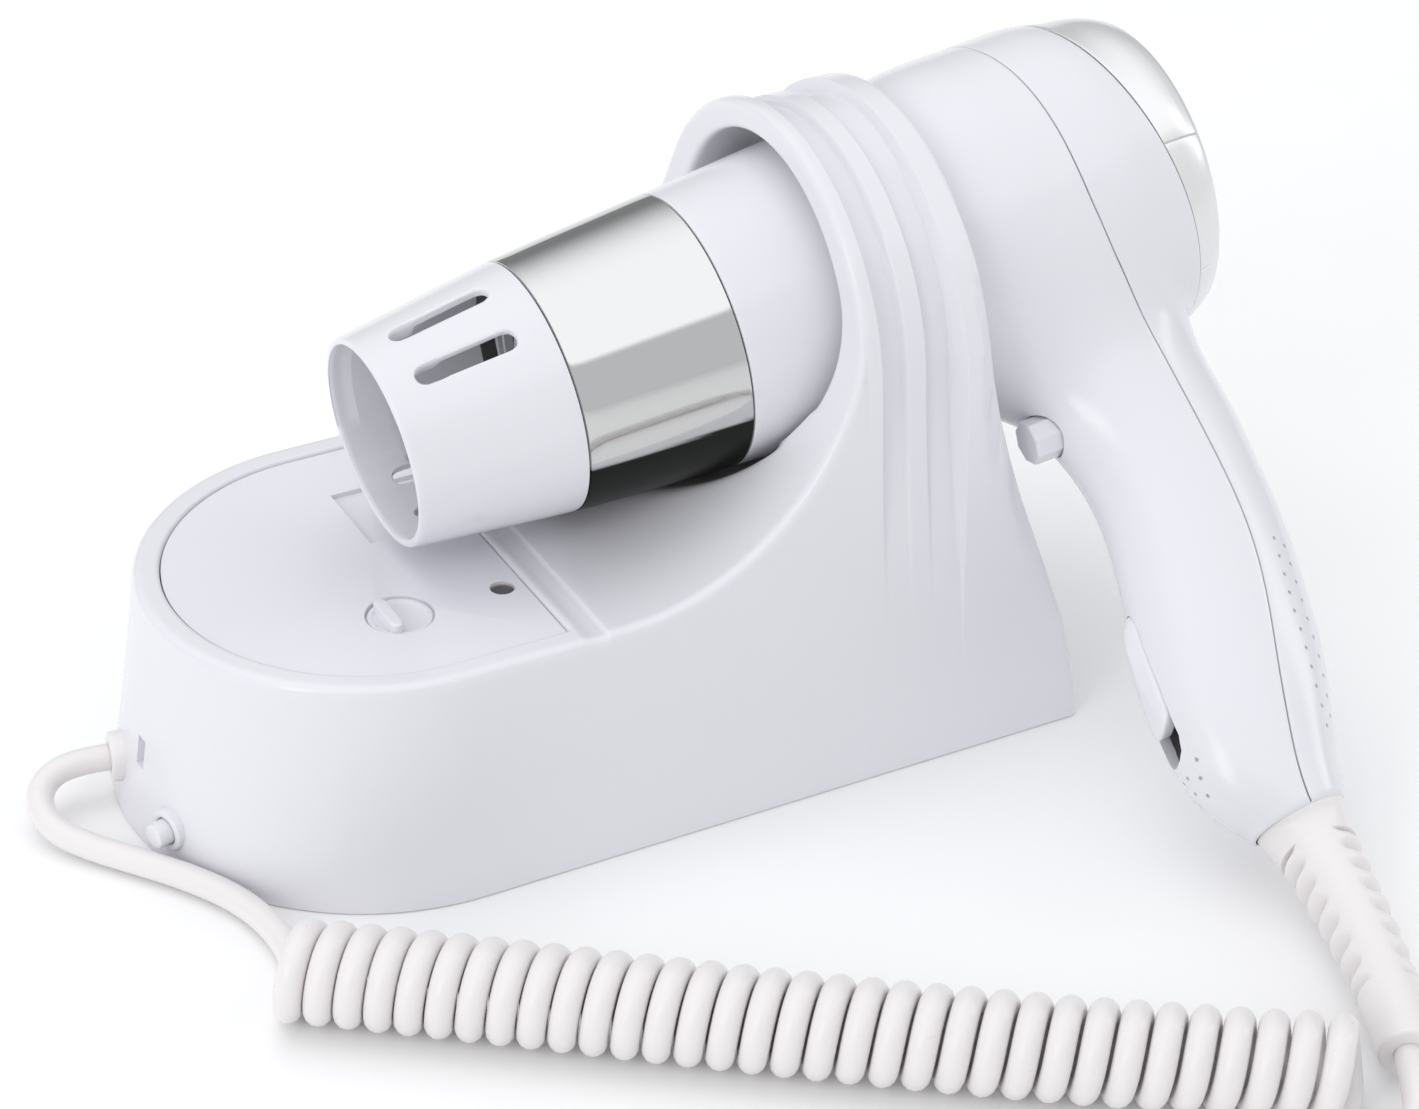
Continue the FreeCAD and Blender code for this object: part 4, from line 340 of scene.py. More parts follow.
# %% [markdown]
# ## The surround
# Dull surfaces are lit by an even pale sky. What the gloss mirrors is another sky, because a
# studio has bright walls and darker gaps between them: towards the front it is dim below and
# bright above a fairly sharp line, and behind it brightens slowly from the table upwards.

# %% A sky for light and a sky for the mirrors
world = bpy.data.worlds.new("surround")
bpy.context.scene.world = world
world.use_nodes = True
world.node_tree.nodes["Background"].inputs["Color"].default_value = (0.97, 0.98, 1.0, 1.0)
sky = world.node_tree.nodes
join = world.node_tree.links.new


def eased_range(source, low, high, bottom=0.0, top=1.0):
    """A value that rises smoothly from bottom to top while its source goes low to high."""
    node = sky.new("ShaderNodeMapRange")
    node.interpolation_type = "SMOOTHSTEP"
    for name, value in (("From Min", low), ("From Max", high), ("To Min", bottom),
                        ("To Max", top)):
        node.inputs[name].default_value = value
    join(source, node.inputs["Value"])
    return node.outputs["Result"]


def chosen(factor, first, second):
    """Between two values or outputs, by a factor."""
    node = sky.new("ShaderNodeMix")
    join(factor, node.inputs["Factor"])
    for name, value in (("A", first), ("B", second)):
        if isinstance(value, float):
            node.inputs[name].default_value = value
        else:
            join(value, node.inputs[name])
    return node.outputs["Result"]


PLAIN_SKY, BRIGHT_SKY, DIM_FRONT, DIM_BEHIND = 0.85, 1.5, 0.78, 0.3
way = sky.new("ShaderNodeSeparateXYZ")
join(sky.new("ShaderNodeTexCoord").outputs["Generated"], way.inputs["Vector"])
in_front = eased_range(way.outputs["Z"], 0.60, 0.67, DIM_FRONT, BRIGHT_SKY)
behind = eased_range(way.outputs["Z"], 0.2, 1.0, DIM_BEHIND, BRIGHT_SKY)
mirrored_sky = chosen(eased_range(way.outputs["Y"], -0.2, 0.2), in_front, behind)
is_mirror = sky.new("ShaderNodeLightPath").outputs["Is Glossy Ray"]
join(chosen(is_mirror, PLAIN_SKY, mirrored_sky), sky["Background"].inputs["Strength"])
bpy.context.scene.view_settings.view_transform = "Standard"
print("sky strength", PLAIN_SKY, "for light, up to", BRIGHT_SKY, "in the mirrors")

# %% [markdown]
# ## The curled cord
# The lead leaves the gland on the round end, drops to the table and turns into a telephone
# style coil, which is a straight cord wound on a rod and baked until it keeps its curl. After
# the last turn a short lead climbs into the strain relief. A smooth spline through a few points
# gives the way; the coil's turns are more points of the same spline, wound round its own way.

# %% Points that the cord follows
def spline_points(points, fineness):
    """Points read from a smooth spline that has the given points as its control points."""
    data = bpy.data.curves.new("route", "CURVE")
    data.dimensions = "3D"
    spline = data.splines.new("NURBS")
    spline.points.add(len(points) - 1)
    flat = np.concatenate([np.asarray(points, float), np.ones((len(points), 1))], 1)
    spline.points.foreach_set("co", flat.ravel())
    spline.order_u = 3
    spline.use_endpoint_u = True
    spline.resolution_u = fineness
    holder = bpy.data.objects.new("route", data)
    drawn = bpy.data.meshes.new_from_object(holder)
    found = np.zeros(len(drawn.vertices) * 3)
    drawn.vertices.foreach_get("co", found)
    bpy.data.objects.remove(holder)
    bpy.data.curves.remove(data)
    bpy.data.meshes.remove(drawn)
    return found.reshape(-1, 3)


def along(path):
    """Distance from a path's start to each of its points."""
    return np.concatenate([[0.0], np.cumsum(np.linalg.norm(np.diff(path, axis=0), axis=1))])


GLAND_FACE = np.array((0.497, 11.797, 9.5))
GLAND_OUT = np.array((-0.97815, 0.20791, 0.0))
SQUARE_START = 8.0
WALL_LEAD = [GLAND_FACE, GLAND_FACE + SQUARE_START * GLAND_OUT,
             (-14.2, 12.0, 7.9), (-17.4, 6.4, 5.6), (-16.2, -0.8, 3.9), (-11.2, -8.0, 3.0),
             (-4.6, -16.4, 2.95), (3.0, -26.6, 3.0), (9.2, -38.0, 2.95), (11.8, -50.0, 3.0),
             (11.4, -61.4, 3.05), (5.9, -71.8, 3.1)]
COIL_WAY = [(3.5, -70.4, 10.6), (36.5, -94.6, 10.6), (71.0, -121.0, 10.6),
            (106.5, -147.0, 10.6), (141.5, -171.2, 10.6), (176.0, -193.2, 10.6)]
RELIEF_TIP = np.array((187.5, -189.5, 7.8))
RELIEF_HEADING = unit(np.array((-0.45, -0.89, -0.06)))
TIP_LEAD = [(172.4, -191.6, 3.1), (166.9, -197.0, 3.05), (167.8, -203.9, 3.2),
            (174.4, -206.4, 4.1), (180.4, -203.4, 5.6),
            RELIEF_TIP + SQUARE_START * RELIEF_HEADING, RELIEF_TIP]
WIRE = 2.9

# %% [markdown]
# ## The turns
# Each turn is a dozen control points round the coil's own way. A spline runs inside the polygon
# of its control points, so they stand a little further out than the wire's middle. The turns
# open up slightly along the way, as in a coil that has often been pulled.

# %% Wind the coil's turns
COIL_RADIUS = 7.6
TURNS = 33
POINTS_A_TURN = 12
OPENING_UP = 0.05
coil_axis = spline_points(COIL_WAY, 24)
coil_length = along(coil_axis)[-1]
step = np.arange(1, TURNS * POINTS_A_TURN)
share = step / (TURNS * POINTS_A_TURN)
place = WIRE + (coil_length - 2 * WIRE) * (share + OPENING_UP * (share ** 2 - share))
middle = np.stack([np.interp(place, along(coil_axis), coil_axis[:, k]) for k in range(3)], 1)
heading = unit(np.gradient(middle, axis=0))
to_viewer = unit(np.cross(heading, (0.0, 0.0, 1.0)))
turned = 2 * np.pi * TURNS * share - np.pi / 2
reach = COIL_RADIUS / np.cos(np.pi / POINTS_A_TURN)
coil = middle + reach * (np.cos(turned)[:, None] * to_viewer
                         + np.sin(turned)[:, None] * np.array((0.0, 0.0, 1.0)))
cord_route = np.concatenate([np.array(WALL_LEAD), coil, np.array(TIP_LEAD)])
print(TURNS, "turns over", round(coil_length, 1), "mm")

# %% [markdown]
# ## The wire's skin
# A tube needs two directions square to its path at every point. Chosen afresh each time they
# would spin and wring the tube, so the spin is measured, added up and turned back.

# %% A tube round any path
def untwisted_frames(path):
    """Two directions square to a path at each point: crossed with one fixed direction first,
    then each pair turned back by all the twist added up before it."""
    forward = unit(np.gradient(path, axis=0))
    side = unit(np.cross(forward, (0.31, 0.17, 0.93)))
    other = np.cross(forward, side)
    carried = side[:-1] - (side[:-1] * forward[1:]).sum(1, keepdims=True) * forward[1:]
    twist = np.arctan2((carried * other[1:]).sum(1), (carried * side[1:]).sum(1))
    total = np.concatenate([[0.0], np.cumsum(twist)])[:, None]
    return (np.cos(total) * side + np.sin(total) * other,
            np.cos(total) * other - np.sin(total) * side)


def tube(path, radius, sides):
    """Rings of points round a path: the path's point plus the radius times cosine and sine of
    the angle along its two square directions. Both ends close to a point."""
    path = np.concatenate([path[:1], path, path[-1:]])
    radius = np.concatenate([[0.0], np.broadcast_to(radius, len(path) - 2), [0.0]])
    side, other = untwisted_frames(path[1:-1])
    side = np.concatenate([side[:1], side, side[-1:]])
    other = np.concatenate([other[:1], other, other[-1:]])
    angle = full_circle(sides)[None, :, None]
    ring = np.cos(angle) * side[:, None] + np.sin(angle) * other[:, None]
    return grid_part(path[:, None] + radius[:, None, None] * ring, closed=True)


cord_path = spline_points(cord_route, 8)
print("cord", round(along(cord_path)[-1] / 1000.0, 3), "m long")
curled_cord = make_piece("curled_cord", *tube(cord_path, WIRE, 14), white_cord, None, None,
                         weld=1e-7)
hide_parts("wall_lead", "curled_cord", "tip_lead")
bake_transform(curled_cord)

# %% [markdown]
# ## The dryer's own frame
# The dryer lies in the ring with its mouth down and its handle turned to one side. Its shapes
# are far simpler in a frame of their own: the first number runs along the barrel from the
# mouth, the handle hangs towards minus the third, and the second points away from the viewer.

# %% From the dryer's frame to the holder's
PITCH, HANDLE_TURN = np.radians((-6.37, -58.5))
MOUTH = np.array((58.0, 0.0, 76.85))
pitched = np.array(((np.cos(PITCH), 0, np.sin(PITCH)), (0, 1, 0),
                    (-np.sin(PITCH), 0, np.cos(PITCH))))
rolled = np.array(((1, 0, 0), (0, np.cos(HANDLE_TURN), -np.sin(HANDLE_TURN)),
                   (0, np.sin(HANDLE_TURN), np.cos(HANDLE_TURN))))
DRYER_TURN = pitched @ rolled


def in_ring(points):
    """A turn about the barrel, then a small pitch, then the mouth's place."""
    return np.asarray(points, float) @ DRYER_TURN.T + MOUTH


def round_barrel(place, radius, turned):
    """Points round the barrel, in the dryer's frame: turns count from the side away from the
    handle."""
    return points_of(place, -radius * np.sin(turned), radius * np.cos(turned))


print("the barrel points to", np.round(DRYER_TURN[:, 0], 3))

# %% [markdown]
# ## The dryer's long curves
# Neither barrel nor handle has a straight stretch: the barrel swells towards the motor and the
# handle towards the palm. Such a line is given by a few places and the smoothest curve through
# them, as a bent strip of wood gives it on a drawing board.

# %% A smooth curve through given values
def smooth_through(places, values):
    """A curve through the given values: cubics whose slopes and bends agree where they meet,
    found once from a small system of equations. Outside the places it keeps its end value."""
    x, y = np.array(places, float), np.array(values, float)
    gap = np.diff(x)
    inner = np.arange(1, len(x) - 1)
    system, wanted = np.eye(len(x)), np.zeros(len(x))
    system[inner, inner - 1], system[inner, inner + 1] = gap[:-1], gap[1:]
    system[inner, inner] = 2 * (gap[:-1] + gap[1:])
    wanted[1:-1] = 6 * np.diff(np.diff(y) / gap)
    bend = np.linalg.solve(system, wanted)

    def value(place):
        """The curve's value at a place."""
        place = np.clip(place, x[0], x[-1])
        k = np.clip(np.searchsorted(x, place) - 1, 0, len(gap) - 1)
        since, until = place - x[k], x[k + 1] - place
        curved = (bend[k] * until ** 3 + bend[k + 1] * since ** 3) / (6 * gap[k])
        low = (y[k] / gap[k] - bend[k] * gap[k] / 6) * until
        return curved + low + (y[k + 1] / gap[k] - bend[k + 1] * gap[k] / 6) * since
    return value


# %% Barrel, handle, seam and cap edge as curves
NOZZLE_END, BAND_END, CAP_END = 36.0, 72.5, 184.5
CAP_START, CAP_LEAN = 172.0, 0.171
barrel_radius = smooth_through(
    (0.0, 18.0, NOZZLE_END, 54.0, BAND_END, 97.0, 113.0, 122.0, 131.0, 145.0, 157.0, 166.0,
     172.0, 179.0, CAP_END),
    (22.6, 25.0, 27.3, 28.8, 30.1, 32.0, 33.6, 35.4, 37.4, 38.2, 38.4, 38.1, 36.9, 35.9, 33.9))
HANDLE_END = 148.5
down = (20.0, 34.0, 46.0, 60.0, 75.0, 89.0, 104.0, 119.0, 128.0, 136.0, 143.0, HANDLE_END)
handle_centre = smooth_through(down, (150.0, 151.4, 152.7, 154.3, 153.4, 150.7, 146.6, 142.6,
                                      140.4, 139.0, 139.0, 140.0))
handle_depth = smooth_through(down, (30.0, 25.2, 21.3, 19.4, 19.0, 20.0, 20.7, 20.3, 18.8, 16.4,
                                     13.4, 10.4))
handle_width = smooth_through(down, (25.0, 20.0, 16.4, 14.6, 14.0, 13.8, 13.7, 13.4, 12.9, 12.1,
                                     11.2, 10.4))
seam = smooth_through(
    (-160.5, -HANDLE_END, -141.0, -132.0, -120.0, -109.0, -100.0, -89.0, -75.0, -58.0, -45.0,
     -35.0, -27.0, -19.0, -8.0, 6.0, 45.0),
    (139.2, 139.2, 140.3, 142.9, 147.2, 151.6, 154.8, 157.5, 159.0, 159.5, 159.1, 157.3, 154.9,
     153.2, 152.4, 152.0, 149.0))


def on_handle(fall, turned):
    """Points on the handle's oval at a fall below the barrel's axis: turns count from the rear."""
    return points_of(handle_centre(fall) + handle_depth(fall) * np.cos(turned),
                     handle_width(fall) * np.sin(turned), -fall)


def cap_edge(height):
    """The cap's slanted edge: a straight line that leans back towards the handle."""
    return CAP_START - CAP_LEAN * height


print("barrel radius", round(float(barrel_radius(0.0)), 1), "mm at the mouth and",
      round(float(barrel_radius(BAND_END)), 1), "mm behind the band")

# %% [markdown]
# ## Barrel and handle in one soft form
# On the real dryer each housing half is one moulding, and the handle grows out of the barrel in
# a wide soft fillet. Two lofts that just cross would leave a hard line there. Here the form is
# a number for every point in space, below nought inside: the smaller of the barrel's and the
# handle's numbers, eased where they are nearly equal. Any sheet of points can then be settled
# onto it by walking down its slope.

# %% The form and how points settle on it
ROOT_EASE, LEAST_EASE, EASE_LOSS, EASE_FROM = 11.0, 3.0, 0.36, 152.0
HANDLE_TOP = 20.0
ASIDE = 0.02


def dryer_form(points):
    """The lesser of the distance outside the barrel and that outside the handle's oval, less a
    quarter of the square of how near the two are to each other within the ease, over it."""
    along_barrel, across, height = points[..., 0], points[..., 1], points[..., 2]
    barrel = np.hypot(across, height) - barrel_radius(along_barrel)
    fall = -height
    deep, wide = handle_depth(fall), handle_width(fall)
    oval = np.hypot((along_barrel - handle_centre(fall)) / deep, across / wide)
    handle = (oval - 1.0) * np.minimum(deep, wide) + np.maximum(HANDLE_TOP - fall, 0.0)
    ease = np.clip(ROOT_EASE - EASE_LOSS * (along_barrel - EASE_FROM), LEAST_EASE, ROOT_EASE)
    near = np.maximum(ease - np.abs(barrel - handle), 0.0)
    return np.minimum(barrel, handle) - near ** 2 / (4 * ease)


def slope_of(form, points):
    """How fast a form grows along each direction, from values a little to either side."""
    return np.stack([(form(points + little) - form(points - little)) / (2 * ASIDE)
                     for little in ASIDE * np.eye(3)], -1)


def settled(points, form, steps=7, keep=None, free=1.0):
    """Points walked onto a form's surface: each step is the value over the slope's square,
    against the slope, in the free directions only. After every step, keep may put some points
    back on an edge."""
    for _ in range(steps):
        slope = slope_of(form, points) * free
        points = points - (form(points) / (slope ** 2).sum(-1))[..., None] * slope
        if keep is not None:
            points = keep(points)
    return points


def sunk(points, form, depth):
    """Points moved into the form by a depth, along its slope."""
    return points - unit(slope_of(form, points)) * np.asarray(depth)[..., None]


print("form at the mouth's edge", np.round(dryer_form(np.array((0.0, 0.0, 22.6))), 3))

# %% [markdown]
# ## The two housing halves
# The halves meet on a parting line that runs over the barrel and down the middle of the
# handle's side. A half is a sheet round the barrel with a gap where the handle starts, and a
# half pipe that begins on the gap's edge and runs down the handle. The sheet's last rows turn
# in a little, so that the two rounded edges draw the fine line seen where mouldings meet.

# %% The sheet round the barrel
ROUND = 96
NOTCH = 12
HANDLE_ROOT = 150.0
angle = 2 * np.pi * np.arange(ROUND) / ROUND
EDGE_OUT = np.array((0.10, 0.22, 0.6))
EDGE_SINK = np.array((0.55, 0.08, 0.0))
EDGE_ROWS = len(EDGE_OUT)


def barrel_sheet(start, end, shares, form):
    """Rings round the barrel between two edges that may slant with height: each ring lies a
    share of the way from one edge to the other, and the three rings nearest an edge lie at
    fixed small distances from it and turn in."""
    height = barrel_radius(HANDLE_ROOT) * np.cos(angle)
    first, last = start(height), end(height)
    middle = first + (last - first) * np.asarray(shares)[:, None]
    ring = np.concatenate([first + EDGE_OUT[:, None], middle, last - EDGE_OUT[::-1, None]])
    sheet = round_barrel(ring, barrel_radius(ring), angle)
    depth = np.concatenate([EDGE_SINK, np.zeros(len(shares)), EDGE_SINK[::-1]])

    def keep(points):
        """Each ring stays at its own place along the barrel."""
        points[..., 0] = ring
        return points
    return settled(sheet, form, keep=keep), np.broadcast_to(depth[:, None], ring.shape)


# %% The half pipe down the handle
EDGE_FALL, BEND_FALL, BEND_FOOT = 38.0, 41.0, 56.0
BEND_ROWS = 11
PIPE_FALLS = np.concatenate([np.arange(59.0, 147.0, 3.0), [146.9]])
END_MIDST = np.array((140.0, 0.0, 0.0))
END_ROWS = ((0.985, 0.9), (0.955, 1.35), (0.92, 1.6), (0.88, 1.6))


def half_pipe(edge, edge_depth, front, form):
    """The handle's half from the gap's edge down: at first a bend from the edge towards the
    handle's own oval, then ovals further and further down, then a small turn in at the end."""
    side = -1.0 if front else 1.0
    turned = np.arctan2(edge[:, 1] / handle_width(EDGE_FALL),
                        (edge[:, 0] - seam(edge[:, 2])) / handle_depth(EDGE_FALL))

    def oval(fall):
        """The oval between its two seam lines: turns count from the half's own middle."""
        fall = np.broadcast_to(fall, turned.shape)
        aside = (seam(-fall) - handle_centre(fall)) / handle_depth(fall)
        at_seam = np.arccos(np.clip(aside, -0.9, 0.9))
        spread = (turned % (2 * np.pi) - np.pi) * (np.pi - at_seam) / (np.pi / 2)
        return on_handle(fall, np.pi + spread if front else turned * at_seam / (np.pi / 2))

    def from_seam(points, way=-1.0):
        """Points whose first number counts from the seam at their height, or the way back."""
        return points + way * points_of(seam(points[..., 2]), 0.0, 0.0)
    share = np.linspace(0, 1, BEND_ROWS)[:, None, None]
    bend = from_seam((1 - share) ** 2 * from_seam(edge) + 2 * share * (1 - share)
                     * from_seam(oval(BEND_FALL)) + share ** 2 * from_seam(oval(BEND_FOOT)), 1.0)
    pipe = np.concatenate([bend, np.stack([oval(fall) for fall in PIPE_FALLS])])
    gap = np.abs(edge[:, 0] - seam(edge[:, 2]))
    least = np.minimum(gap, 1.0)

    def keep(points):
        """The half stays on its side of the seam, its outer columns at their small distance
        from it, the lower rows at their height and the first row on the gap's edge."""
        middle = seam(points[..., 2])
        away = np.maximum(side * (points[..., 0] - middle), least)
        points[..., 0] = middle + side * np.where(edge_depth > 0, gap, away)
        points[BEND_ROWS:, :, 2] = -PIPE_FALLS[:, None]
        points[0] = edge
        return points
    pipe = settled(pipe, form, keep=keep)
    depth = np.broadcast_to(edge_depth, pipe.shape[:2])
    pipe = sunk(pipe, form, depth)
    end = pipe[-1].mean(0) * (0, 0, 1) + END_MIDST
    turn_in = [end + (pipe[-1] - end) * scale - (0, 0, fall) for scale, fall in END_ROWS]
    return np.concatenate([pipe, turn_in])


# %% Join sheet and pipe, and build both halves
def housing_half(start, end, shares, rows, front):
    """The sheet without the gap's faces, joined to the half pipe along the gap's edge."""
    sheet, depth = barrel_sheet(start, end, shares, dryer_form)
    flat = sunk(sheet, dryer_form, depth)
    points, faces = grid_part(flat, closed=True)
    low, high = ROUND // 2 - NOTCH, ROUND // 2 + NOTCH
    row, column = faces[:, 0] // ROUND, faces[:, 0] % ROUND
    inside = (row >= rows[0]) & (row < rows[1]) & (column >= low) & (column < high)
    across = np.arange(low, high + 1)
    down_side = np.arange(rows[1], rows[0], -1) if front else np.arange(rows[0], rows[1])
    turn_row = rows[0] if front else rows[1]
    loop_rows = np.concatenate([down_side, np.full(len(across), turn_row), down_side[::-1]])
    loop_columns = np.concatenate([np.full(len(down_side), low), across,
                                   np.full(len(down_side), high)])
    pipe = half_pipe(sheet[loop_rows, loop_columns], depth[loop_rows, loop_columns], front,
                     dryer_form)
    pipe[0] = flat[loop_rows, loop_columns]
    return joined([(points, faces[~inside]), grid_part(pipe)])


FRONT_GAP_ROW, REAR_GAP_ROW = 20, 14
front_shares = np.linspace(0.02, 0.98, 34)
last_row = len(front_shares) + 2 * EDGE_ROWS - 1
front_points, front_faces = housing_half(lambda height: np.full_like(height, BAND_END), seam,
                                         front_shares, (FRONT_GAP_ROW, last_row), True)
front_housing = make_piece("front_housing_skin", in_ring(front_points), front_faces,
                           white_shell, "dryer", "white_shell", ["front_housing"], wall=2.0)
rear_shares = np.linspace(0.05, 0.93, 12)
rear_points, rear_faces = housing_half(seam, cap_edge, rear_shares, (0, REAR_GAP_ROW), False)
rear_housing = make_piece("rear_housing_skin", in_ring(rear_points), rear_faces,
                          white_shell, "dryer", "white_shell", ["rear_housing"], wall=2.0)

# %% [markdown]
# ## The nozzle
# The white front tube is a slightly flared moulding with two pairs of long air slots close to
# its mouth. A slot has round ends and softened edges, so it is not cut but woven into the
# sheet: the grid leaves out a small window, and rows of points close in from the window's
# edge to the slot's outline, then turn down through the wall to the inner sheet.

# %% A flat sheet with windows that close in on outlines
def long_hole(turned, half_length, radius, grow):
    """Outline of a slot with round ends, seen from its middle along each direction: it meets
    the straight side if that is reached within the half length, else the round end."""
    cosine, sine = np.abs(np.cos(turned)), np.abs(np.sin(turned))
    wide = radius + grow
    side = wide / np.maximum(sine, 1e-9)
    root = np.maximum(wide ** 2 - (half_length * sine) ** 2, 0.0)
    end = half_length * cosine + np.sqrt(root)
    reach = np.where(side * cosine <= half_length, side, end)
    return np.stack([reach * np.cos(turned), reach * np.sin(turned)], -1)


def sheet_with_holes(us, vs, holes, closed=False):
    """A grid over us and vs with sink nought, less the faces in each hole's window; from the
    window's edge, rows close in to the outline, and further rows follow each (growth, sink)."""
    points, faces = grid_part(points_of(us[:, None], vs, 0.0), closed)
    row, column = faces[:, 0] // len(vs), faces[:, 0] % len(vs)
    parts = []
    for centre, window, half_length, radius, steps in holes:
        u_low, u_high = np.searchsorted(us, (window[0] - 1e-6, window[1] - 1e-6))
        v_low, v_high = np.searchsorted(vs, (window[2] - 1e-6, window[3] - 1e-6))
        faces_in = (row >= u_low) & (row < u_high) & (column >= v_low) & (column < v_high)
        faces, row, column = faces[~faces_in], row[~faces_in], column[~faces_in]
        over, up = np.arange(v_low, v_high), np.arange(u_low, u_high)
        edge = np.concatenate([
            points_of(us[u_low], vs[over]), points_of(us[up], vs[v_high]),
            points_of(us[u_high], vs[over + 1][::-1]), points_of(us[up + 1][::-1], vs[v_low])])
        away = edge - centre
        turned = np.arctan2(away[:, 1], away[:, 0])
        first = long_hole(turned, half_length, radius, steps[0][0]) + centre
        shares = np.linspace(0, 1, 5)[:, None, None]
        rows = [np.concatenate([edge + (first - edge) * share, np.zeros((len(edge), 1))], 1)
                for share in shares]
        rows += [np.concatenate([long_hole(turned, half_length, radius, grow) + centre,
                                 np.full((len(edge), 1), sink)], 1) for grow, sink in steps[1:]]
        parts.append(grid_part(np.stack(rows), closed=True))
    return joined([(points, faces)] + parts)


# %% Nozzle sizes, and how a flat sheet is laid onto the tube
SLOT_START, SLOT_LENGTH, SLOT_WIDTH = 7.0, 22.0, 4.2
SLOT_ANGLES = np.array((60.0, 90.0, 240.0, 270.0))
BORE, BORE_DEPTH, NOZZLE_WALL = 20.8, 12.0, 1.8
STEP_DEPTH, STEP_LENGTH, STEP_ARC = 0.5, 4.5, 52.0
BORE_FADE = 1.6
REFERENCE = 24.0
slot_middle = SLOT_START + SLOT_LENGTH / 2
slot_straight = SLOT_LENGTH / 2 - SLOT_WIDTH / 2


def nozzle_wall(place):
    """Wall thickness: down to the bore near the mouth, then the plain wall, eased between."""
    eased = np.clip((place - BORE_DEPTH) / BORE_FADE, 0, 1)
    eased = eased * eased * (3 - 2 * eased)
    return (barrel_radius(place) - BORE) * (1 - eased) + NOZZLE_WALL * eased


def on_nozzle(sheet):
    """Along, distance round at the reference radius, and share of the wall sunk through,
    onto the tube: the angle is the distance over the reference, the radius the barrel's less
    the sunk share of the wall there."""
    place, turned, depth = sheet[:, 0], sheet[:, 1] / REFERENCE, sheet[:, 2]
    return round_barrel(place, barrel_radius(place) - depth * nozzle_wall(place), turned)


# %% The outer and the inner sheet with their slots
NOZZLE_SIDES = 144
WINDOW_REACH, WINDOW_STEPS = 13.25, 4
FIRST_RING, LAST_RING = 1.2, 35.2
around = 2 * np.pi * REFERENCE * np.arange(NOZZLE_SIDES) / NOZZLE_SIDES
window_ends = (slot_middle - WINDOW_REACH, slot_middle + WINDOW_REACH)
lengths = np.unique(np.concatenate([(FIRST_RING,), np.arange(2.0, 35.0, 1.5), window_ends,
                                    (LAST_RING,), np.linspace(5, 31, 19)]))
arc = around[1]


def slot_holes(steps):
    """The four slots: centre, window in whole grid steps, and how their edges run."""
    found = []
    for turn in SLOT_ANGLES:
        centre = np.array((slot_middle, np.radians(turn) * REFERENCE))
        nearest = round(centre[1] / arc)
        window = (*window_ends, (nearest - WINDOW_STEPS) * arc, (nearest + WINDOW_STEPS) * arc)
        found.append((centre, window, slot_straight, SLOT_WIDTH / 2, steps))
    return found


outer = sheet_with_holes(lengths, around, slot_holes(((0.75, 0), (0.35, 0.03), (0.1, 0.14),
                                                      (0.0, 0.34), (0.0, 0.85))), closed=True)
inner = sheet_with_holes(lengths, around, slot_holes(((0.3, 0), (0.0, 0.15))), closed=True)
inner[0][:, 2] = 1.0 - inner[0][:, 2]


# %% The rounded mouth, the rear edge and the step inside the mouth
def ring_rows(rows):
    """Closed rings for a list of (place along, share of the wall sunk through)."""
    place, depth = np.array(rows, float).T[..., None]
    return grid_part(points_of(place, around, depth), closed=True)


mouth_rows = [(FIRST_RING, 0.0), (0.55, 0.02), (0.18, 0.12), (0.0, 0.35), (0.0, 0.65),
              (0.18, 0.88), (0.55, 0.98), (FIRST_RING, 1.0)]
rear_rows = [(LAST_RING, 0.0), (35.75, 0.04), (35.95, 0.25), (NOZZLE_END, 0.6),
             (NOZZLE_END, 1.0), (LAST_RING, 1.0)]
flat_points, nozzle_faces = joined([outer, inner, ring_rows(mouth_rows), ring_rows(rear_rows)])
nozzle_points = on_nozzle(flat_points)
angle_there = (flat_points[:, 1] / REFERENCE + np.pi) % (2 * np.pi) - np.pi
in_step = (np.abs(angle_there) < np.radians(STEP_ARC)) & (flat_points[:, 0] < STEP_LENGTH)
NEARLY_THROUGH = 0.8
deeper = np.where(in_step & (flat_points[:, 2] > NEARLY_THROUGH), 1 + STEP_DEPTH / BORE, 1.0)
nozzle_points[:, 1:] *= deeper[:, None]
make_piece("nozzle_tube_skin", in_ring(nozzle_points), nozzle_faces, white_shell, "dryer",
           "white_shell", ["nozzle_tube"])

# %% [markdown]
# ## The polished band
# A thin metal sleeve covers the joint between nozzle and barrel; its ends are rolled in. It is
# one profile turned about the barrel, a hair outside the barrel's own line, and its inside
# follows at the sheet's thickness.

# %% Turn the band
def revolved(profile, sides=240):
    """A profile of (place along, radius) turned about the barrel."""
    turned = 2 * np.pi * np.arange(sides) / sides
    return round_barrel(*np.array(profile, float).T[..., None], turned)


BAND_SHEET, BAND_PROUD = 0.9, 0.04
band_place = np.linspace(NOZZLE_END + 0.7, BAND_END - 0.8, 14)
start_radius, end_radius = barrel_radius(NOZZLE_END), barrel_radius(BAND_END)
band_profile = ([(NOZZLE_END + 0.1, start_radius - BAND_SHEET),
                 (NOZZLE_END + 0.1, start_radius - 0.3),
                 (NOZZLE_END + 0.25, start_radius - 0.02)]
                + [(place, barrel_radius(place) + BAND_PROUD) for place in band_place]
                + [(BAND_END - 0.3, end_radius - 0.02),
                   (BAND_END - 0.1, end_radius - 0.3),
                   (BAND_END - 0.1, end_radius - BAND_SHEET)])
band_rings = revolved(band_profile + [(place, radius - BAND_SHEET) for place, radius
                                      in band_profile[-2:1:-1]] + band_profile[:1])
band = make_piece("polished_band", *grid_part(in_ring(band_rings), closed=True), polished,
                  "dryer", "bright_band", ["chrome_band"])
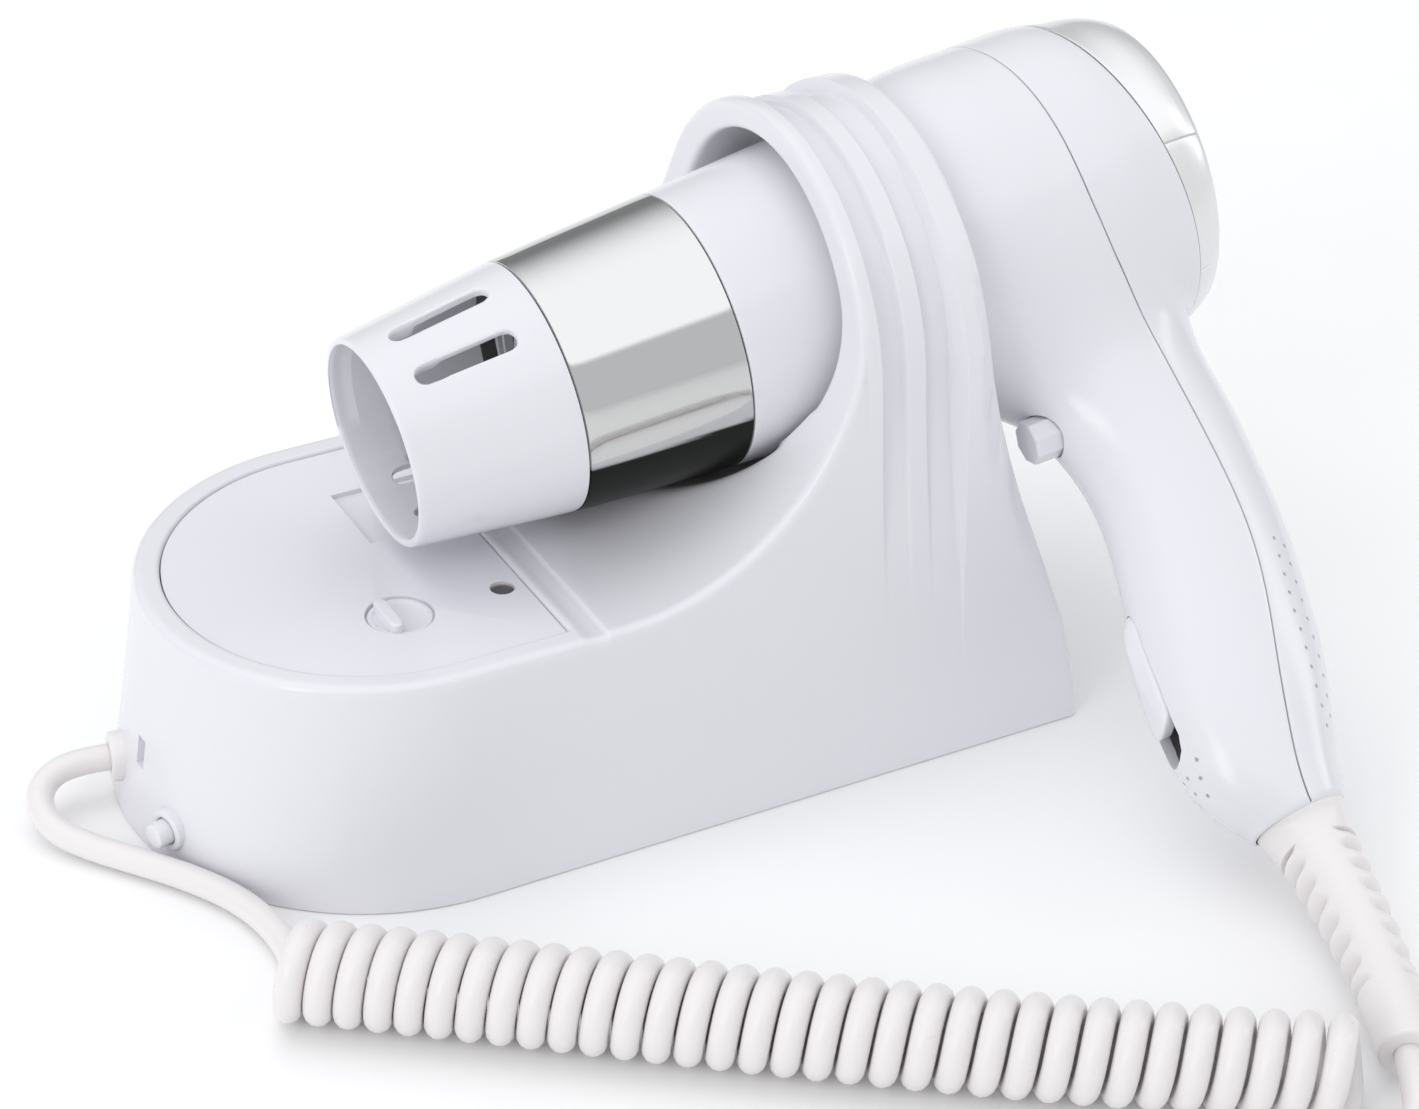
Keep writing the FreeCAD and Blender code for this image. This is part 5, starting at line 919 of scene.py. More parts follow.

# %% Write on each point of the band how much painted dark reflection it takes
DARK_START, DARK_EDGE = (160.3, 160.3, 158.6), 0.8
DARK_END, DARK_FADE = 310.0, 12.0
local = np.empty(3 * len(band.data.vertices))
band.data.vertices.foreach_get("co", local)
local = (local.reshape(-1, 3) * 1000.0 + SCREWS_MIDDLE - MOUTH) @ DRYER_TURN
turn_there = np.degrees(np.arctan2(-local[:, 1], local[:, 2])) % 360.0
dark_from = smooth_through((NOZZLE_END, 54.0, BAND_END), DARK_START)(local[:, 0])
# Painted dark reflection: from a turn past the dark line round to the end of the fade, the band
# takes the near-black surface.
painted_dark_share = np.clip((turn_there - dark_from) / DARK_EDGE, 0, 1)
painted_dark_share = painted_dark_share * np.clip((DARK_END - turn_there) / DARK_FADE, 0, 1)
painted_reflection_share = band.data.attributes.new("painted_reflection_share", "FLOAT", "POINT")
painted_reflection_share.data.foreach_set("value", painted_dark_share.astype(np.float32))
print(round(100 * float(painted_dark_share.mean())), "percent of the band's points are dark")

# %% [markdown]
# ## The rear cap
# The cap is a lacquered ring, widest on the side away from the handle, with a rolled edge round
# the air inlet. Four fine grooves run across it, two on either side of the handle. Its rings
# settle on the same form as the housing, so that the outline runs on without a step.

# %% The cap's columns, closer together at the grooves
CAP_ROWS, CAP_SKIN_END, CAP_LAP = 16, 181.6, 1.2
RIM = np.array(((183.0, 34.35), (183.8, 34.0), (184.3, 33.4), (CAP_END, 32.6), (184.3, 31.8),
                (183.6, 31.3), (182.0, 31.1), (176.0, 31.1)))
SPLITS = np.radians((109.0, 158.0, 202.0, 251.0))
SPLIT_SHAPE = np.radians((-0.7, -0.42, -0.2, 0.0, 0.2, 0.42, 0.7))
SPLIT_SINK = np.array((0.0, 0.03, 0.3, 0.5, 0.3, 0.03, 0.0))
clear = np.abs(angle[:, None] - SPLITS).min(1) > np.radians(1.5)
cap_turn = np.concatenate([angle[clear], (SPLITS[:, None] + SPLIT_SHAPE).ravel()])
split_sink = np.concatenate([np.zeros(clear.sum()), np.tile(SPLIT_SINK, len(SPLITS))])
order = np.argsort(cap_turn)
cap_turn, split_sink = cap_turn[order], split_sink[order]
cap_start = cap_edge(barrel_radius(176.0) * np.cos(cap_turn))
print(len(cap_turn), "columns")

# %% Settle the cap and roll its edge
share = np.linspace(0, 1, CAP_ROWS)[:, None]
ring = np.concatenate([cap_start + EDGE_OUT[:, None], cap_start + CAP_LAP
                       + (CAP_SKIN_END - cap_start - CAP_LAP) * share])
cap_sheet = round_barrel(ring, barrel_radius(ring), cap_turn)


def on_rings(points):
    """Keep every point of the cap on its own ring along the barrel."""
    points[..., 0] = ring
    return points


cap_depth = np.concatenate([EDGE_SINK, np.zeros(CAP_ROWS)])[:, None] + split_sink
cap_skin = sunk(settled(cap_sheet, dryer_form, keep=on_rings), dryer_form, cap_depth)
rim_sink = split_sink * np.array((1, 1, 0.6, 0, 0, 0, 0, 0))[:, None]
rim_radius = RIM[:, 1:] - rim_sink
rim_rows = round_barrel(RIM[:, :1], rim_radius, cap_turn)
cap_rings = np.concatenate([cap_skin, rim_rows])
make_piece("rear_cap_skin", *grid_part(in_ring(cap_rings), closed=True), pearl, "dryer",
           "silver_cap", ["rear_cap"], wall=1.2)

# %% [markdown]
# ## The holder's form
# The holder is one white moulding: a flared wall under a low round end, a flat top, a cradle
# that sweeps up to a ring, and a ring with two raised rims and a ridge between them. It is
# again a number for every point in space. Each plain surface gives a distance; where two
# surfaces meet, the larger one counts, rounded by a rolling radius, so that every edge gets
# the soft moulded corner that catches the light.

# %% Distances to the holder's plain surfaces
END_MIDDLE = 56.0
WALL_MIDDLE, WALL_ROUND = (777.320, 130.693), 733.065
ARCH_MIDDLE, ARCH_ROUND, SHOULDER = 85.346, 45.577, 88.0
SHOULDER_SLOPE = 2.654 / 45.5
PANEL, CRADLE_X, CRADLE_ROUND = 50.0, 91.0, 57.0
CRADLE_MIDDLE = PANEL + CRADLE_ROUND
RING_FRONT, RING_REAR = 148.0, 176.5
HOLE, HOLE_REAR, HOLE_HEIGHT, FLARE_START = 35.5, 37.4, 89.4, 158.0
rear_line = smooth_through((0.0, 20.0, 44.0, 66.0, 86.0, 104.0, 125.0, 145.0),
                           (198.0, 196.3, 188.5, 181.9, 177.8, RING_REAR, RING_REAR, RING_REAR))


def ramp(value, middle, width):
    """Nought to one in a smooth rise about a middle value."""
    share = np.clip((value - middle) / width + 0.5, 0, 1)
    return share * share * (3 - 2 * share)


def wall_half(height):
    """Half width of the flared side wall, an arc whose middle lies far out to the side."""
    return WALL_MIDDLE[0] - np.sqrt(WALL_ROUND ** 2 - (height - WALL_MIDDLE[1]) ** 2)


def rounded_most(first, second, radius):
    """The larger of two distances, with the corner between them rolled to a radius."""
    corner = np.hypot(np.maximum(first + radius, 0), np.maximum(second + radius, 0))
    return np.minimum(np.maximum(first, second), -radius) + corner


print("half width", round(float(wall_half(0.0)), 1), "mm on the wall face and",
      round(float(wall_half(PANEL)), 1), "mm at the top")

# %% The outside walls with the ring's grooves, the top, and the hole
GROOVE_DEPTH, RIDGE_HEIGHT = 3.0, 1.6
GROOVES_FROM, RIDGE_FROM, RIDGE_TO, GROOVES_TO = 152.0, 158.0, 163.0, 169.5
BAND_FOOT, FLANGE_HEIGHT, FLANGE_ROUND, FLANGE_FOOT = 46.0, 80.0, 49.6, 30.0
FLANGE_LOW, NO_FLANGE = 51.2, 9.0


def outside_walls(x, reach, z):
    """Distance outside flared wall and arch, more where the ring's grooves are sunk and less
    at its rear rim; both fade out down the wall."""
    wall = WALL_ROUND - np.hypot(reach - WALL_MIDDLE[0], z - WALL_MIDDLE[1])
    arch = np.hypot(reach, z - ARCH_MIDDLE) - ARCH_ROUND
    plain = np.where(z - ARCH_MIDDLE > SHOULDER_SLOPE * reach, arch, wall)
    sunk_by = (GROOVE_DEPTH * ramp(x, GROOVES_FROM, 1.0) - RIDGE_HEIGHT * ramp(x, RIDGE_FROM, 0.8)
               + RIDGE_HEIGHT * ramp(x, RIDGE_TO, 0.8) - GROOVE_DEPTH * ramp(x, GROOVES_TO, 1.0))
    fade = np.clip((z - BAND_FOOT) / (ARCH_MIDDLE - BAND_FOOT), 0, 1)
    low = (FLANGE_LOW
           + (FLANGE_ROUND - FLANGE_LOW) * (z - FLANGE_FOOT) / (FLANGE_HEIGHT - FLANGE_FOOT))
    rim = np.where(z > FLANGE_HEIGHT, np.hypot(reach, z - FLANGE_HEIGHT) - FLANGE_ROUND,
                   reach - low)
    rim = rim + NO_FLANGE * (1 - ramp(x, GROOVES_TO, 1.3))
    return np.minimum(plain + sunk_by * fade, rim)


STRIP_DROP, STRIP_FROM, STRIP_STEP = 0.55, 83.4, 87.7


def above_top(x, z):
    """Distance above the flat top, inside the cradle's sweep, or before the ring's face; a
    strip before the cradle lies a little lower and ends in a low step."""
    strip = STRIP_DROP * ramp(x, STRIP_FROM, 2.6) * (1 - ramp(x, STRIP_STEP, 0.9))
    sweep = CRADLE_ROUND - np.hypot(x - CRADLE_X, z - CRADLE_MIDDLE)
    upright = RING_FRONT - x
    return np.where(z > CRADLE_MIDDLE, upright, np.where(x < CRADLE_X, z - PANEL + strip, sweep))


REST_HEIGHT, REST_TURNS, REST_PLACES = 2.0, (106.0, 128.0), (137.0, 159.0)


def inside_hole(x, y, z):
    """Distance inside the ring's opening, which widens to the rear and has two low rests."""
    flared = np.clip((x - FLARE_START) / (RING_REAR - FLARE_START), 0, 1)
    radius = HOLE + (HOLE_REAR - HOLE) * flared
    turned = np.degrees(np.arctan2(np.abs(y), z - HOLE_HEIGHT))
    rest = REST_HEIGHT * ramp(turned, REST_TURNS[0], 4.0) * (1 - ramp(turned, REST_TURNS[1], 8.0))
    rest = rest * ramp(x, REST_PLACES[0], 2.5) * (1 - ramp(x, REST_PLACES[1], 2.5))
    return radius - rest - np.hypot(y, z - HOLE_HEIGHT)


TOP_EDGE, REAR_EDGE, HOLE_EDGE, REAR_LEAN = 1.8, 1.4, 1.3, 0.96


def holder_form(points):
    """Walls with the top, then with the rear, then less the hole, each corner rounded."""
    x, y, z = points[..., 0], points[..., 1], points[..., 2]
    reach = np.hypot(np.minimum(x - END_MIDDLE, 0), y)
    form = rounded_most(outside_walls(x, reach, z), above_top(x, z), TOP_EDGE)
    form = rounded_most(form, (x - rear_line(z)) * REAR_LEAN, REAR_EDGE)
    return rounded_most(form, inside_hole(x, y, z), HOLE_EDGE)


print("ring hole", 2 * HOLE, "mm across in front and", 2 * HOLE_REAR, "mm at the rear")


# %% [markdown]
# ## The holder's skin
# Several sheets cover the form: the walls of the round end and of both sides, one sheet over
# ring and rear sides, the top with its recess for the cover plate, the cradle round the hole,
# the rear face and the hole's own wall. Neighbouring sheets share the same points on their
# common edge, so that they weld into one skin. Rows lie closer together where an edge is
# rounded.

# %% Shared rows and columns
SHOULDER_TURN = np.arctan(SHOULDER_SLOPE)


def girth(height):
    """How far up the section's outline a height lies: up the wall, then round the arch."""
    turned = np.arcsin(np.clip((height - ARCH_MIDDLE) / ARCH_ROUND, -1, 1))
    return np.where(height <= SHOULDER, height, SHOULDER + ARCH_ROUND * (turned - SHOULDER_TURN))


def outline(distance):
    """Half width and height at a distance up the section's outline, the way back from girth."""
    turned = SHOULDER_TURN + np.maximum(distance - SHOULDER, 0) / ARCH_ROUND
    wall_height = np.minimum(distance, SHOULDER)
    on_arch = distance > SHOULDER
    return (np.where(on_arch, ARCH_ROUND * np.cos(turned), wall_half(wall_height)),
            np.where(on_arch, ARCH_MIDDLE + ARCH_ROUND * np.sin(turned), wall_height))


def top_height(x):
    """Height of the flat top or of the cradle's sweep."""
    return CRADLE_MIDDLE - np.sqrt(CRADLE_ROUND ** 2 - np.clip(x - CRADLE_X, 0, CRADLE_ROUND) ** 2)


UP = np.array((0, .02, .06, .12, .2, .3, .4, .5, .6, .7, .78, .85, .9, .93, .953, .971, .984,
               .993, 1.0))
flat_x = np.concatenate([np.linspace(END_MIDDLE, 76.0, 7), (79.0, 81.0, 81.25, 81.6, 82.1, 82.8,
                        83.6, 84.6, 85.8, 86.8, 87.25, 87.5, 87.75, 88.0, 88.3, 89.2)])
sweep_x = CRADLE_X + CRADLE_ROUND * np.sin(np.radians(np.arange(0, 91, 3)))
side_x = np.concatenate([flat_x, sweep_x])
RECESS, RECESS_END = 43.11, 81.0
half_rows = np.array((0, 5, 10, 15, 20, 25, 30, 35, 39, 41.5, 42.6, RECESS, 43.3, 43.55, 43.9,
                      44.5, 45.3, 46.2, 47.0, 47.7, 48.2, 48.5, wall_half(PANEL)))
across_rows = np.concatenate([-half_rows[:0:-1], half_rows])
END_COLUMNS = 61
end_turn = np.radians(np.linspace(90, -90, END_COLUMNS))
print(len(side_x), "columns along the holder and", len(across_rows), "rows across its top")

# %% Walls of the sides and of the round end
def mirrored(sheet):
    """The same sheet on the other side of the holder."""
    return sheet * np.array((1.0, -1.0, 1.0))


half, height = outline(girth(top_height(side_x)) * UP[:, None])
near_wall = points_of(side_x, -half, height)
half, height = outline(PANEL * UP[:, None])
end_wall = points_of(END_MIDDLE - half * np.cos(end_turn), -half * np.sin(end_turn), height)

# %% The ring and the rear sides, one sheet over the arch
LAST_COLUMN, ARCH_ROWS = 171.4, 14
crest_girth = girth(np.array(CRADLE_MIDDLE))
top_girth = girth(np.array(ARCH_MIDDLE + ARCH_ROUND))
arch_rows = crest_girth + (top_girth - crest_girth) * np.arange(1, ARCH_ROWS + 1) / ARCH_ROWS
half, height = outline(np.concatenate([crest_girth * UP, arch_rows]))
around_y = np.concatenate([-half, half[-2::-1]])
around_z = np.concatenate([height, height[-2::-1]])
ring_x = np.concatenate([
    RING_FRONT + np.array((0, .25, .6, 1.1, 1.8, 2.6)), GROOVES_FROM + np.linspace(-.7, .7, 7),
    (154, 156), RIDGE_FROM + np.linspace(-.7, .7, 7), (160, 161.5),
    RIDGE_TO + np.linspace(-.7, .7, 7), (165, 167), 169.55 + np.linspace(-.8, .8, 9),
    (LAST_COLUMN,)])
rear_steps = np.array((.15, .3, .45, .6, .72, .82, .89, .93, .96, .985, 1.0))[:, None]
rear_x = rear_line(around_z)
ring_columns = np.concatenate([np.broadcast_to(ring_x[:, None], (len(ring_x), len(around_z))),
                               LAST_COLUMN + (rear_x - LAST_COLUMN) * rear_steps])
ring_sheet = points_of(ring_columns, around_y, around_z)
print(len(ring_columns), "columns from the ring's face to the rear")

# %% [markdown]
# ## Round the hole
# The cradle's sweep and the ring's face are bent in one direction only, so they can be unrolled
# into a flat sheet. On that flat sheet, rows close in from the outer edge to the hole's edge.
# The rear face closes in the same way, and the hole's wall joins the two inner edges.

# %% Cradle and ring face, closing in on the hole
INWARD = np.array((0, .02, .05, .09, .14, .2, .27, .35, .45, .55, .65, .73, .8, .86, .91, .95,
                   .98, 1.0))[:, None]
QUARTER = CRADLE_ROUND * np.pi / 2


def unrolled(height):
    """How far up the cradle's sweep and then the ring's face a height lies."""
    turned = np.arccos(np.clip((CRADLE_MIDDLE - height) / CRADLE_ROUND, -1, 1))
    return np.where(height < CRADLE_MIDDLE, CRADLE_ROUND * turned, QUARTER + height - CRADLE_MIDDLE)


def rolled_up(y, rise):
    """Points on the sweep and the ring's face, the way back from unrolled."""
    turned = np.minimum(rise, QUARTER) / CRADLE_ROUND
    over = np.maximum(rise - QUARTER, 0)
    return points_of(CRADLE_X + CRADLE_ROUND * np.sin(turned), y,
                     CRADLE_MIDDLE - CRADLE_ROUND * np.cos(turned) + over)


crest = near_wall[-1, len(flat_x):]
top_arch = slice(len(UP) - 1, len(around_y) - len(UP) + 1)
loop_y = np.concatenate([crest[:-1, 1], around_y[top_arch], -crest[-2::-1, 1],
                         across_rows[-2:0:-1]])
loop_z = np.concatenate([crest[:-1, 2], around_z[top_arch], crest[-2::-1, 2],
                         np.full(len(across_rows) - 2, PANEL)])
loop_rise = unrolled(loop_z)
table_turn = np.linspace(-np.pi, np.pi, 721)
hole_y, hole_z = HOLE * np.sin(table_turn), HOLE_HEIGHT + HOLE * np.cos(table_turn)
MIDDLE_RISE = 64.0
seen = np.unwrap(np.arctan2(hole_y, unrolled(hole_z) - MIDDLE_RISE))
front_turn = np.interp(np.arctan2(loop_y, loop_rise - MIDDLE_RISE), seen, table_turn)
edge_y, edge_z = HOLE * np.sin(front_turn), HOLE_HEIGHT + HOLE * np.cos(front_turn)
cradle_sheet = rolled_up(loop_y + (edge_y - loop_y) * INWARD,
                         loop_rise + (unrolled(edge_z) - loop_rise) * INWARD)
print(len(loop_y), "points round the cradle's edge")

# %% The rear face and the hole's wall
floor_count = len(loop_y) - len(around_y)
floor_y = np.linspace(-around_y[0], around_y[0], floor_count + 2)[1:-1]
rear_y = np.concatenate([around_y, floor_y])
rear_z = np.concatenate([around_z, np.zeros(floor_count)])
rear_turn = np.arctan2(rear_y, rear_z - HOLE_HEIGHT)
shift = len(crest) - len(UP)
rear_loop = np.roll(np.stack([rear_y, rear_z, rear_turn]), shift, axis=1)
rear_in_y = HOLE_REAR * np.sin(rear_loop[2])
rear_in_z = HOLE_HEIGHT + HOLE_REAR * np.cos(rear_loop[2])
rear_sheet_y = rear_loop[0] + (rear_in_y - rear_loop[0]) * INWARD
rear_sheet_z = rear_loop[1] + (rear_in_z - rear_loop[1]) * INWARD
rear_sheet = points_of(rear_line(rear_sheet_z), rear_sheet_y, rear_sheet_z)
through = np.array((0, .008, .02, .04, .07, .12, .18, .25, .33, .42, .5, .58, .66, .74, .82,
                    .88, .93, .96, .98, .992, 1.0))[:, None]
hole_front_x = cradle_sheet[-1, :, 0]
hole_x = hole_front_x + (rear_sheet[-1, :, 0] - hole_front_x) * through
away = (rear_loop[2] - front_turn + np.pi) % (2 * np.pi) - np.pi
hole_turn = front_turn + away * through
hole_radius = HOLE + (HOLE_REAR - HOLE) * through
hole_sheet = points_of(hole_x, hole_radius * np.sin(hole_turn),
                       HOLE_HEIGHT + hole_radius * np.cos(hole_turn))
print("the rear face's points start", shift, "places further on")

# %% [markdown]
# ## The recess for the cover plate
# The plate lies in a recess with a flat lip round it, so that its edge does not stand up. The
# lip is four sheets: a strip before the cradle, one along each side and one round the end.
# Next to the recess they fall away in a small rolled edge.

# %% The lip round the recess
RECESS_EDGE, RECESS_FLOOR = 0.8, 44.5
strip_x = flat_x[flat_x >= RECESS_END]
strip_x = np.concatenate([strip_x, (CRADLE_X,)])
strip = points_of(strip_x[:, None], across_rows, PANEL)
rim_half = half_rows[half_rows >= RECESS][::-1, None]
rim_x = flat_x[flat_x <= RECESS_END]
side_rim = points_of(rim_x, -rim_half, PANEL)
end_rim = points_of(END_MIDDLE - rim_half * np.cos(end_turn), -rim_half * np.sin(end_turn), PANEL)


def recess_edge(points):
    """Lower the points next to the recess by a rolled edge: radius less the circle's height."""
    x, y = points[..., 0], points[..., 1]
    reach = np.hypot(np.minimum(x - END_MIDDLE, 0), y)
    gone = np.hypot(np.maximum(x - RECESS_END, 0), np.maximum(reach - RECESS, 0))
    inside = np.clip(RECESS_EDGE - gone, 0, RECESS_EDGE)
    fall = RECESS_EDGE - np.sqrt(RECESS_EDGE ** 2 - inside ** 2)
    return points - points_of(0.0, 0.0, fall)


# %% [markdown]
# ## Settling the sheets
# Every sheet walks onto the form now. Some rows are held while it does: the lowest ones on the
# wall face, and the ring's columns in the grooves at their places along the holder, because
# there the form is too steep for points to find their own way.

# %% Let the sheets settle
GROOVES_START, GROOVES_END = 150.2, 173.0


def on_floor(points):
    """Hold the lowest row on the wall face."""
    points[0, ..., 2] = 0.0
    return points


def rows_on_floor(points):
    """Hold the sheets' first and last column on the wall face."""
    points[:, (0, -1), 2] = 0.0
    return points


def floor_line_held(points):
    """Hold the rear face's outer row where it stands on the wall face."""
    points[0, :, 2] = np.where(rear_loop[1] == 0, 0.0, points[0, :, 2])
    return points


near_wall = settled(near_wall, holder_form, keep=on_floor)
end_wall = settled(end_wall, holder_form, keep=on_floor)
in_section = (ring_sheet[..., 0] > GROOVES_START) & (ring_sheet[..., 0] < GROOVES_END)
free_ways = np.stack([~in_section, np.ones_like(in_section), np.ones_like(in_section)], -1)
ring_sheet = settled(ring_sheet, holder_form, steps=12, keep=rows_on_floor, free=free_ways)
cradle_sheet = settled(cradle_sheet, holder_form)
rear_sheet = settled(rear_sheet, holder_form, keep=floor_line_held)
hole_sheet = settled(hole_sheet, holder_form)
strip = recess_edge(settled(strip, holder_form))
side_rim = recess_edge(settled(side_rim, holder_form))
end_rim = recess_edge(settled(end_rim, holder_form))
print("ring reaches", round(float(ring_sheet[..., 2].max()), 1), "mm above the wall face")

# %% The recess's floor and walls, and the whole skin
near_turn = end_turn[1:END_COLUMNS // 2 + 1]
inner_half = np.concatenate([-side_rim[-1, ::-1, 1], RECESS * np.sin(near_turn)])
inner_x = np.concatenate([side_rim[-1, ::-1, 0], END_MIDDLE - RECESS * np.cos(near_turn)])
spread = across_rows[np.abs(across_rows) <= RECESS] / RECESS
seat_floor = points_of(inner_x[:, None], inner_half[:, None] * spread, RECESS_FLOOR)
seat_wall = np.stack([np.concatenate([side_rim[-1, ::-1], end_rim[-1, 1:-1],
                                      mirrored(side_rim[-1])])] * 2)
seat_wall[1, :, 2] = RECESS_FLOOR
inner_strip = strip[0, np.abs(across_rows) <= RECESS]
end_step = np.stack([inner_strip, inner_strip * np.array((1, 1, 0)) + (0, 0, RECESS_FLOOR)])
sheets = [near_wall, mirrored(near_wall), end_wall, ring_sheet, strip, side_rim,
          mirrored(side_rim), end_rim, seat_wall, end_step, seat_floor]
holder_points, holder_faces = joined(
    [grid_part(sheet) for sheet in sheets]
    + [grid_part(sheet, closed=True) for sheet in (cradle_sheet, rear_sheet, hole_sheet)])
holder_skin = make_piece("holder_shell_skin", holder_points, holder_faces, white_shell,
                         "holder", "white_shell", ["holder_shell"], wall=2.6, weld=2e-5)

# %% [markdown]
# ## Openings in the handle
# The push button and the slide switch stand in openings of the front half, small grip dots are
# pressed into both halves, and two screws sit in wells at the back. All are cut with closed
# cutters, and each cut is made part of the mesh at once, so that no cutter stays behind when
# the dryer is moved.

# %% A cut that is made for good, and the shapes of the cutters
def made_final(piece):
    """Put a piece's modifiers into its mesh and shade it again."""
    graph = bpy.context.evaluated_depsgraph_get()
    mesh = bpy.data.meshes.new_from_object(piece.evaluated_get(graph))
    piece.modifiers.clear()
    piece.data = mesh
    shaded(mesh)


def cut_out(piece, points, faces):
    """Take a closed cutter away from a piece."""
    cutter = make_piece(piece.name + "_cutter", points, faces, white_inside, None, None)
    cut = piece.modifiers.new("cut", "BOOLEAN")
    cut.operation = "DIFFERENCE"
    cut.solver = "EXACT"
    cut.object = cutter
    made_final(piece)
    bpy.data.objects.remove(cutter)
    print(piece.name, "now has", len(piece.data.polygons), "faces")


def capped(rows):
    """Closed rows of points with both ends drawn together to a point."""
    first, last = rows[:1].mean(1, keepdims=True), rows[-1:].mean(1, keepdims=True)
    return np.concatenate([first + 0 * rows[:1], rows, last + 0 * rows[:1]])


def handle_face(fall, across, front):
    """Where the handle's oval lies along the barrel: centre less or plus the half depth times
    the root of one less the square of the share across."""
    flat = np.sqrt(1 - np.clip(across / handle_width(fall), -0.99, 0.99) ** 2)
    return handle_centre(fall) + (-1 if front else 1) * handle_depth(fall) * flat


def column(outline, faces_at):
    """A closed column through the handle's face: its outline, given as (fall, across), at a few
    places along the barrel."""
    rows = [points_of(place, outline[:, 1], -outline[:, 0]) for place in faces_at]
    return grid_part(in_ring(capped(np.stack(rows))), closed=True)


DOT, DOT_STRETCH = 0.5, 1.4


def dots(falls, turned):
    """Small balls with their middles on the handle's surface, drawn out along the outward way,
    so that each leaves a pit a little deeper than it is wide."""
    falls, turned = np.array(falls, float), np.radians(turned)
    middle = settled(on_handle(falls, turned), dryer_form)
    up, round_it = np.meshgrid(np.linspace(0, np.pi, 7), np.arange(10) * np.pi / 5,
                               indexing="ij")
    ball = DOT * points_of(np.sin(up) * np.cos(round_it), np.sin(up) * np.sin(round_it),
                           np.cos(up))
    outward = unit(slope_of(dryer_form, middle))
    points, faces = joined([
        grid_part(place + ball + DOT_STRETCH * (ball @ out)[..., None] * out, closed=True)
        for place, out in zip(middle, outward)])
    return in_ring(points), faces


# %% Cut the openings for the push button and the slide switch
KEY_FALL, KEY_HOLE = 51.0, 5.2
SLIDE_TOP, SLIDE_FOOT, SLIDE_HALF = 94.5, 128.5, 5.0
around_hole = full_circle(48)
circle = np.stack([-np.cos(around_hole), np.sin(around_hole)], -1)


def round_column(fall, radius, front, reach):
    """A round column at a fall, from one reach to another about the handle's face there."""
    return column((fall, 0.0) + radius * circle, handle_face(fall, 0.0, front) + np.array(reach))


slide_middle, slide_half = (SLIDE_TOP + SLIDE_FOOT) / 2, (SLIDE_FOOT - SLIDE_TOP) / 2
slide_outline = long_hole(around_hole, slide_half - SLIDE_HALF, SLIDE_HALF, 0.0)
slide_falls = slide_middle + slide_outline[:, 0]
narrowed = smooth_through((94.5, 97.0, 103.0, 110.0, 116.0, 128.0),
                          (0.5, 0.56, 0.7, 0.92, 1.0, 1.0))
slide_outline = np.stack([slide_falls, slide_outline[:, 1] * narrowed(slide_falls)], -1)
slide_faces = [handle_face(slide_falls, 0.0, True) + deeper for deeper in (-5.0, 0.0, 5.0)]
cut_out(front_housing, *round_column(KEY_FALL, KEY_HOLE, True, (-8.0, 6.0)))
cut_out(front_housing, *column(slide_outline, slide_faces))

# %% Cut the grip dots and the two screw wells
WELL_RADIUS, WELL_FALLS = 2.75, (76.0, 134.0)
low_falls = (129.9, 129.9, 131.7, 131.7, 133.4, 133.4, 135.0, 137.0, 137.0)
low_turns = (153.0, 207.0, 174.0, 186.0, 160.0, 200.0, 180.0, 167.0, 193.0)
cut_out(front_housing, *dots(low_falls, low_turns))
outer_falls = np.arange(94.0, 135.0, 4.05)
outer_turns = np.interp(outer_falls, (94.0, 110.0, 119.0, 127.0, 135.0),
                        (51.5, 52.5, 50.0, 47.0, 39.5))
inner_falls = outer_falls[:-1] + 2.0
inner_turns = np.interp(inner_falls, (96.0, 112.0, 134.0), (42.0, 39.5, 29.0))
rear_falls = np.concatenate([outer_falls, inner_falls] * 2)
rear_turns = np.concatenate([outer_turns, inner_turns, -outer_turns, -inner_turns])
cut_out(rear_housing, *dots(rear_falls, rear_turns))
cut_out(rear_housing, *joined([round_column(fall, WELL_RADIUS, False, (-6.0, 6.0))
                               for fall in WELL_FALLS]))

# %% [markdown]
# ## Push button and slide switch
# The push button is an eight-sided stud with a rounded rim. The slide switch is a long thumb
# piece that follows the handle's face. Its ridge stands highest near the upper end, where the
# thumb pushes, and falls towards the foot. Both are rows that shrink towards the middle of
# their face.

# %% Build the push button
def eight_sided(turned):
    """Distance from the middle to the side of an octagon whose corners lie at distance one:
    the sides' own distance over the cosine of the turn from the nearest side's middle."""
    from_side = (turned + np.pi / 8) % (np.pi / 4) - np.pi / 8
    return np.cos(np.pi / 8) / np.cos(from_side)


KEY_RADIUS, KEY_PROUD = 4.9, 4.6
key_turn = full_circle(64)
key_face = handle_face(KEY_FALL, 0.0, True) - KEY_PROUD
key_profile = ((9.0, 0.0), (9.0, 1.0), (0.9, 1.0), (0.42, 0.985), (0.15, 0.955), (0.02, 0.91),
               (0.0, 0.86), (0.0, 0.45), (0.0, 0.0))
key_skin = np.stack([points_of(key_face + back,
                               KEY_RADIUS * wide * eight_sided(key_turn) * np.sin(key_turn),
                               KEY_RADIUS * wide * eight_sided(key_turn) * np.cos(key_turn)
                               - KEY_FALL) for back, wide in key_profile])
make_piece("push_button_skin", *grid_part(in_ring(key_skin), closed=True), white_shell,
           "push_button", "white_shell", ["push_button"], crease=28.0)

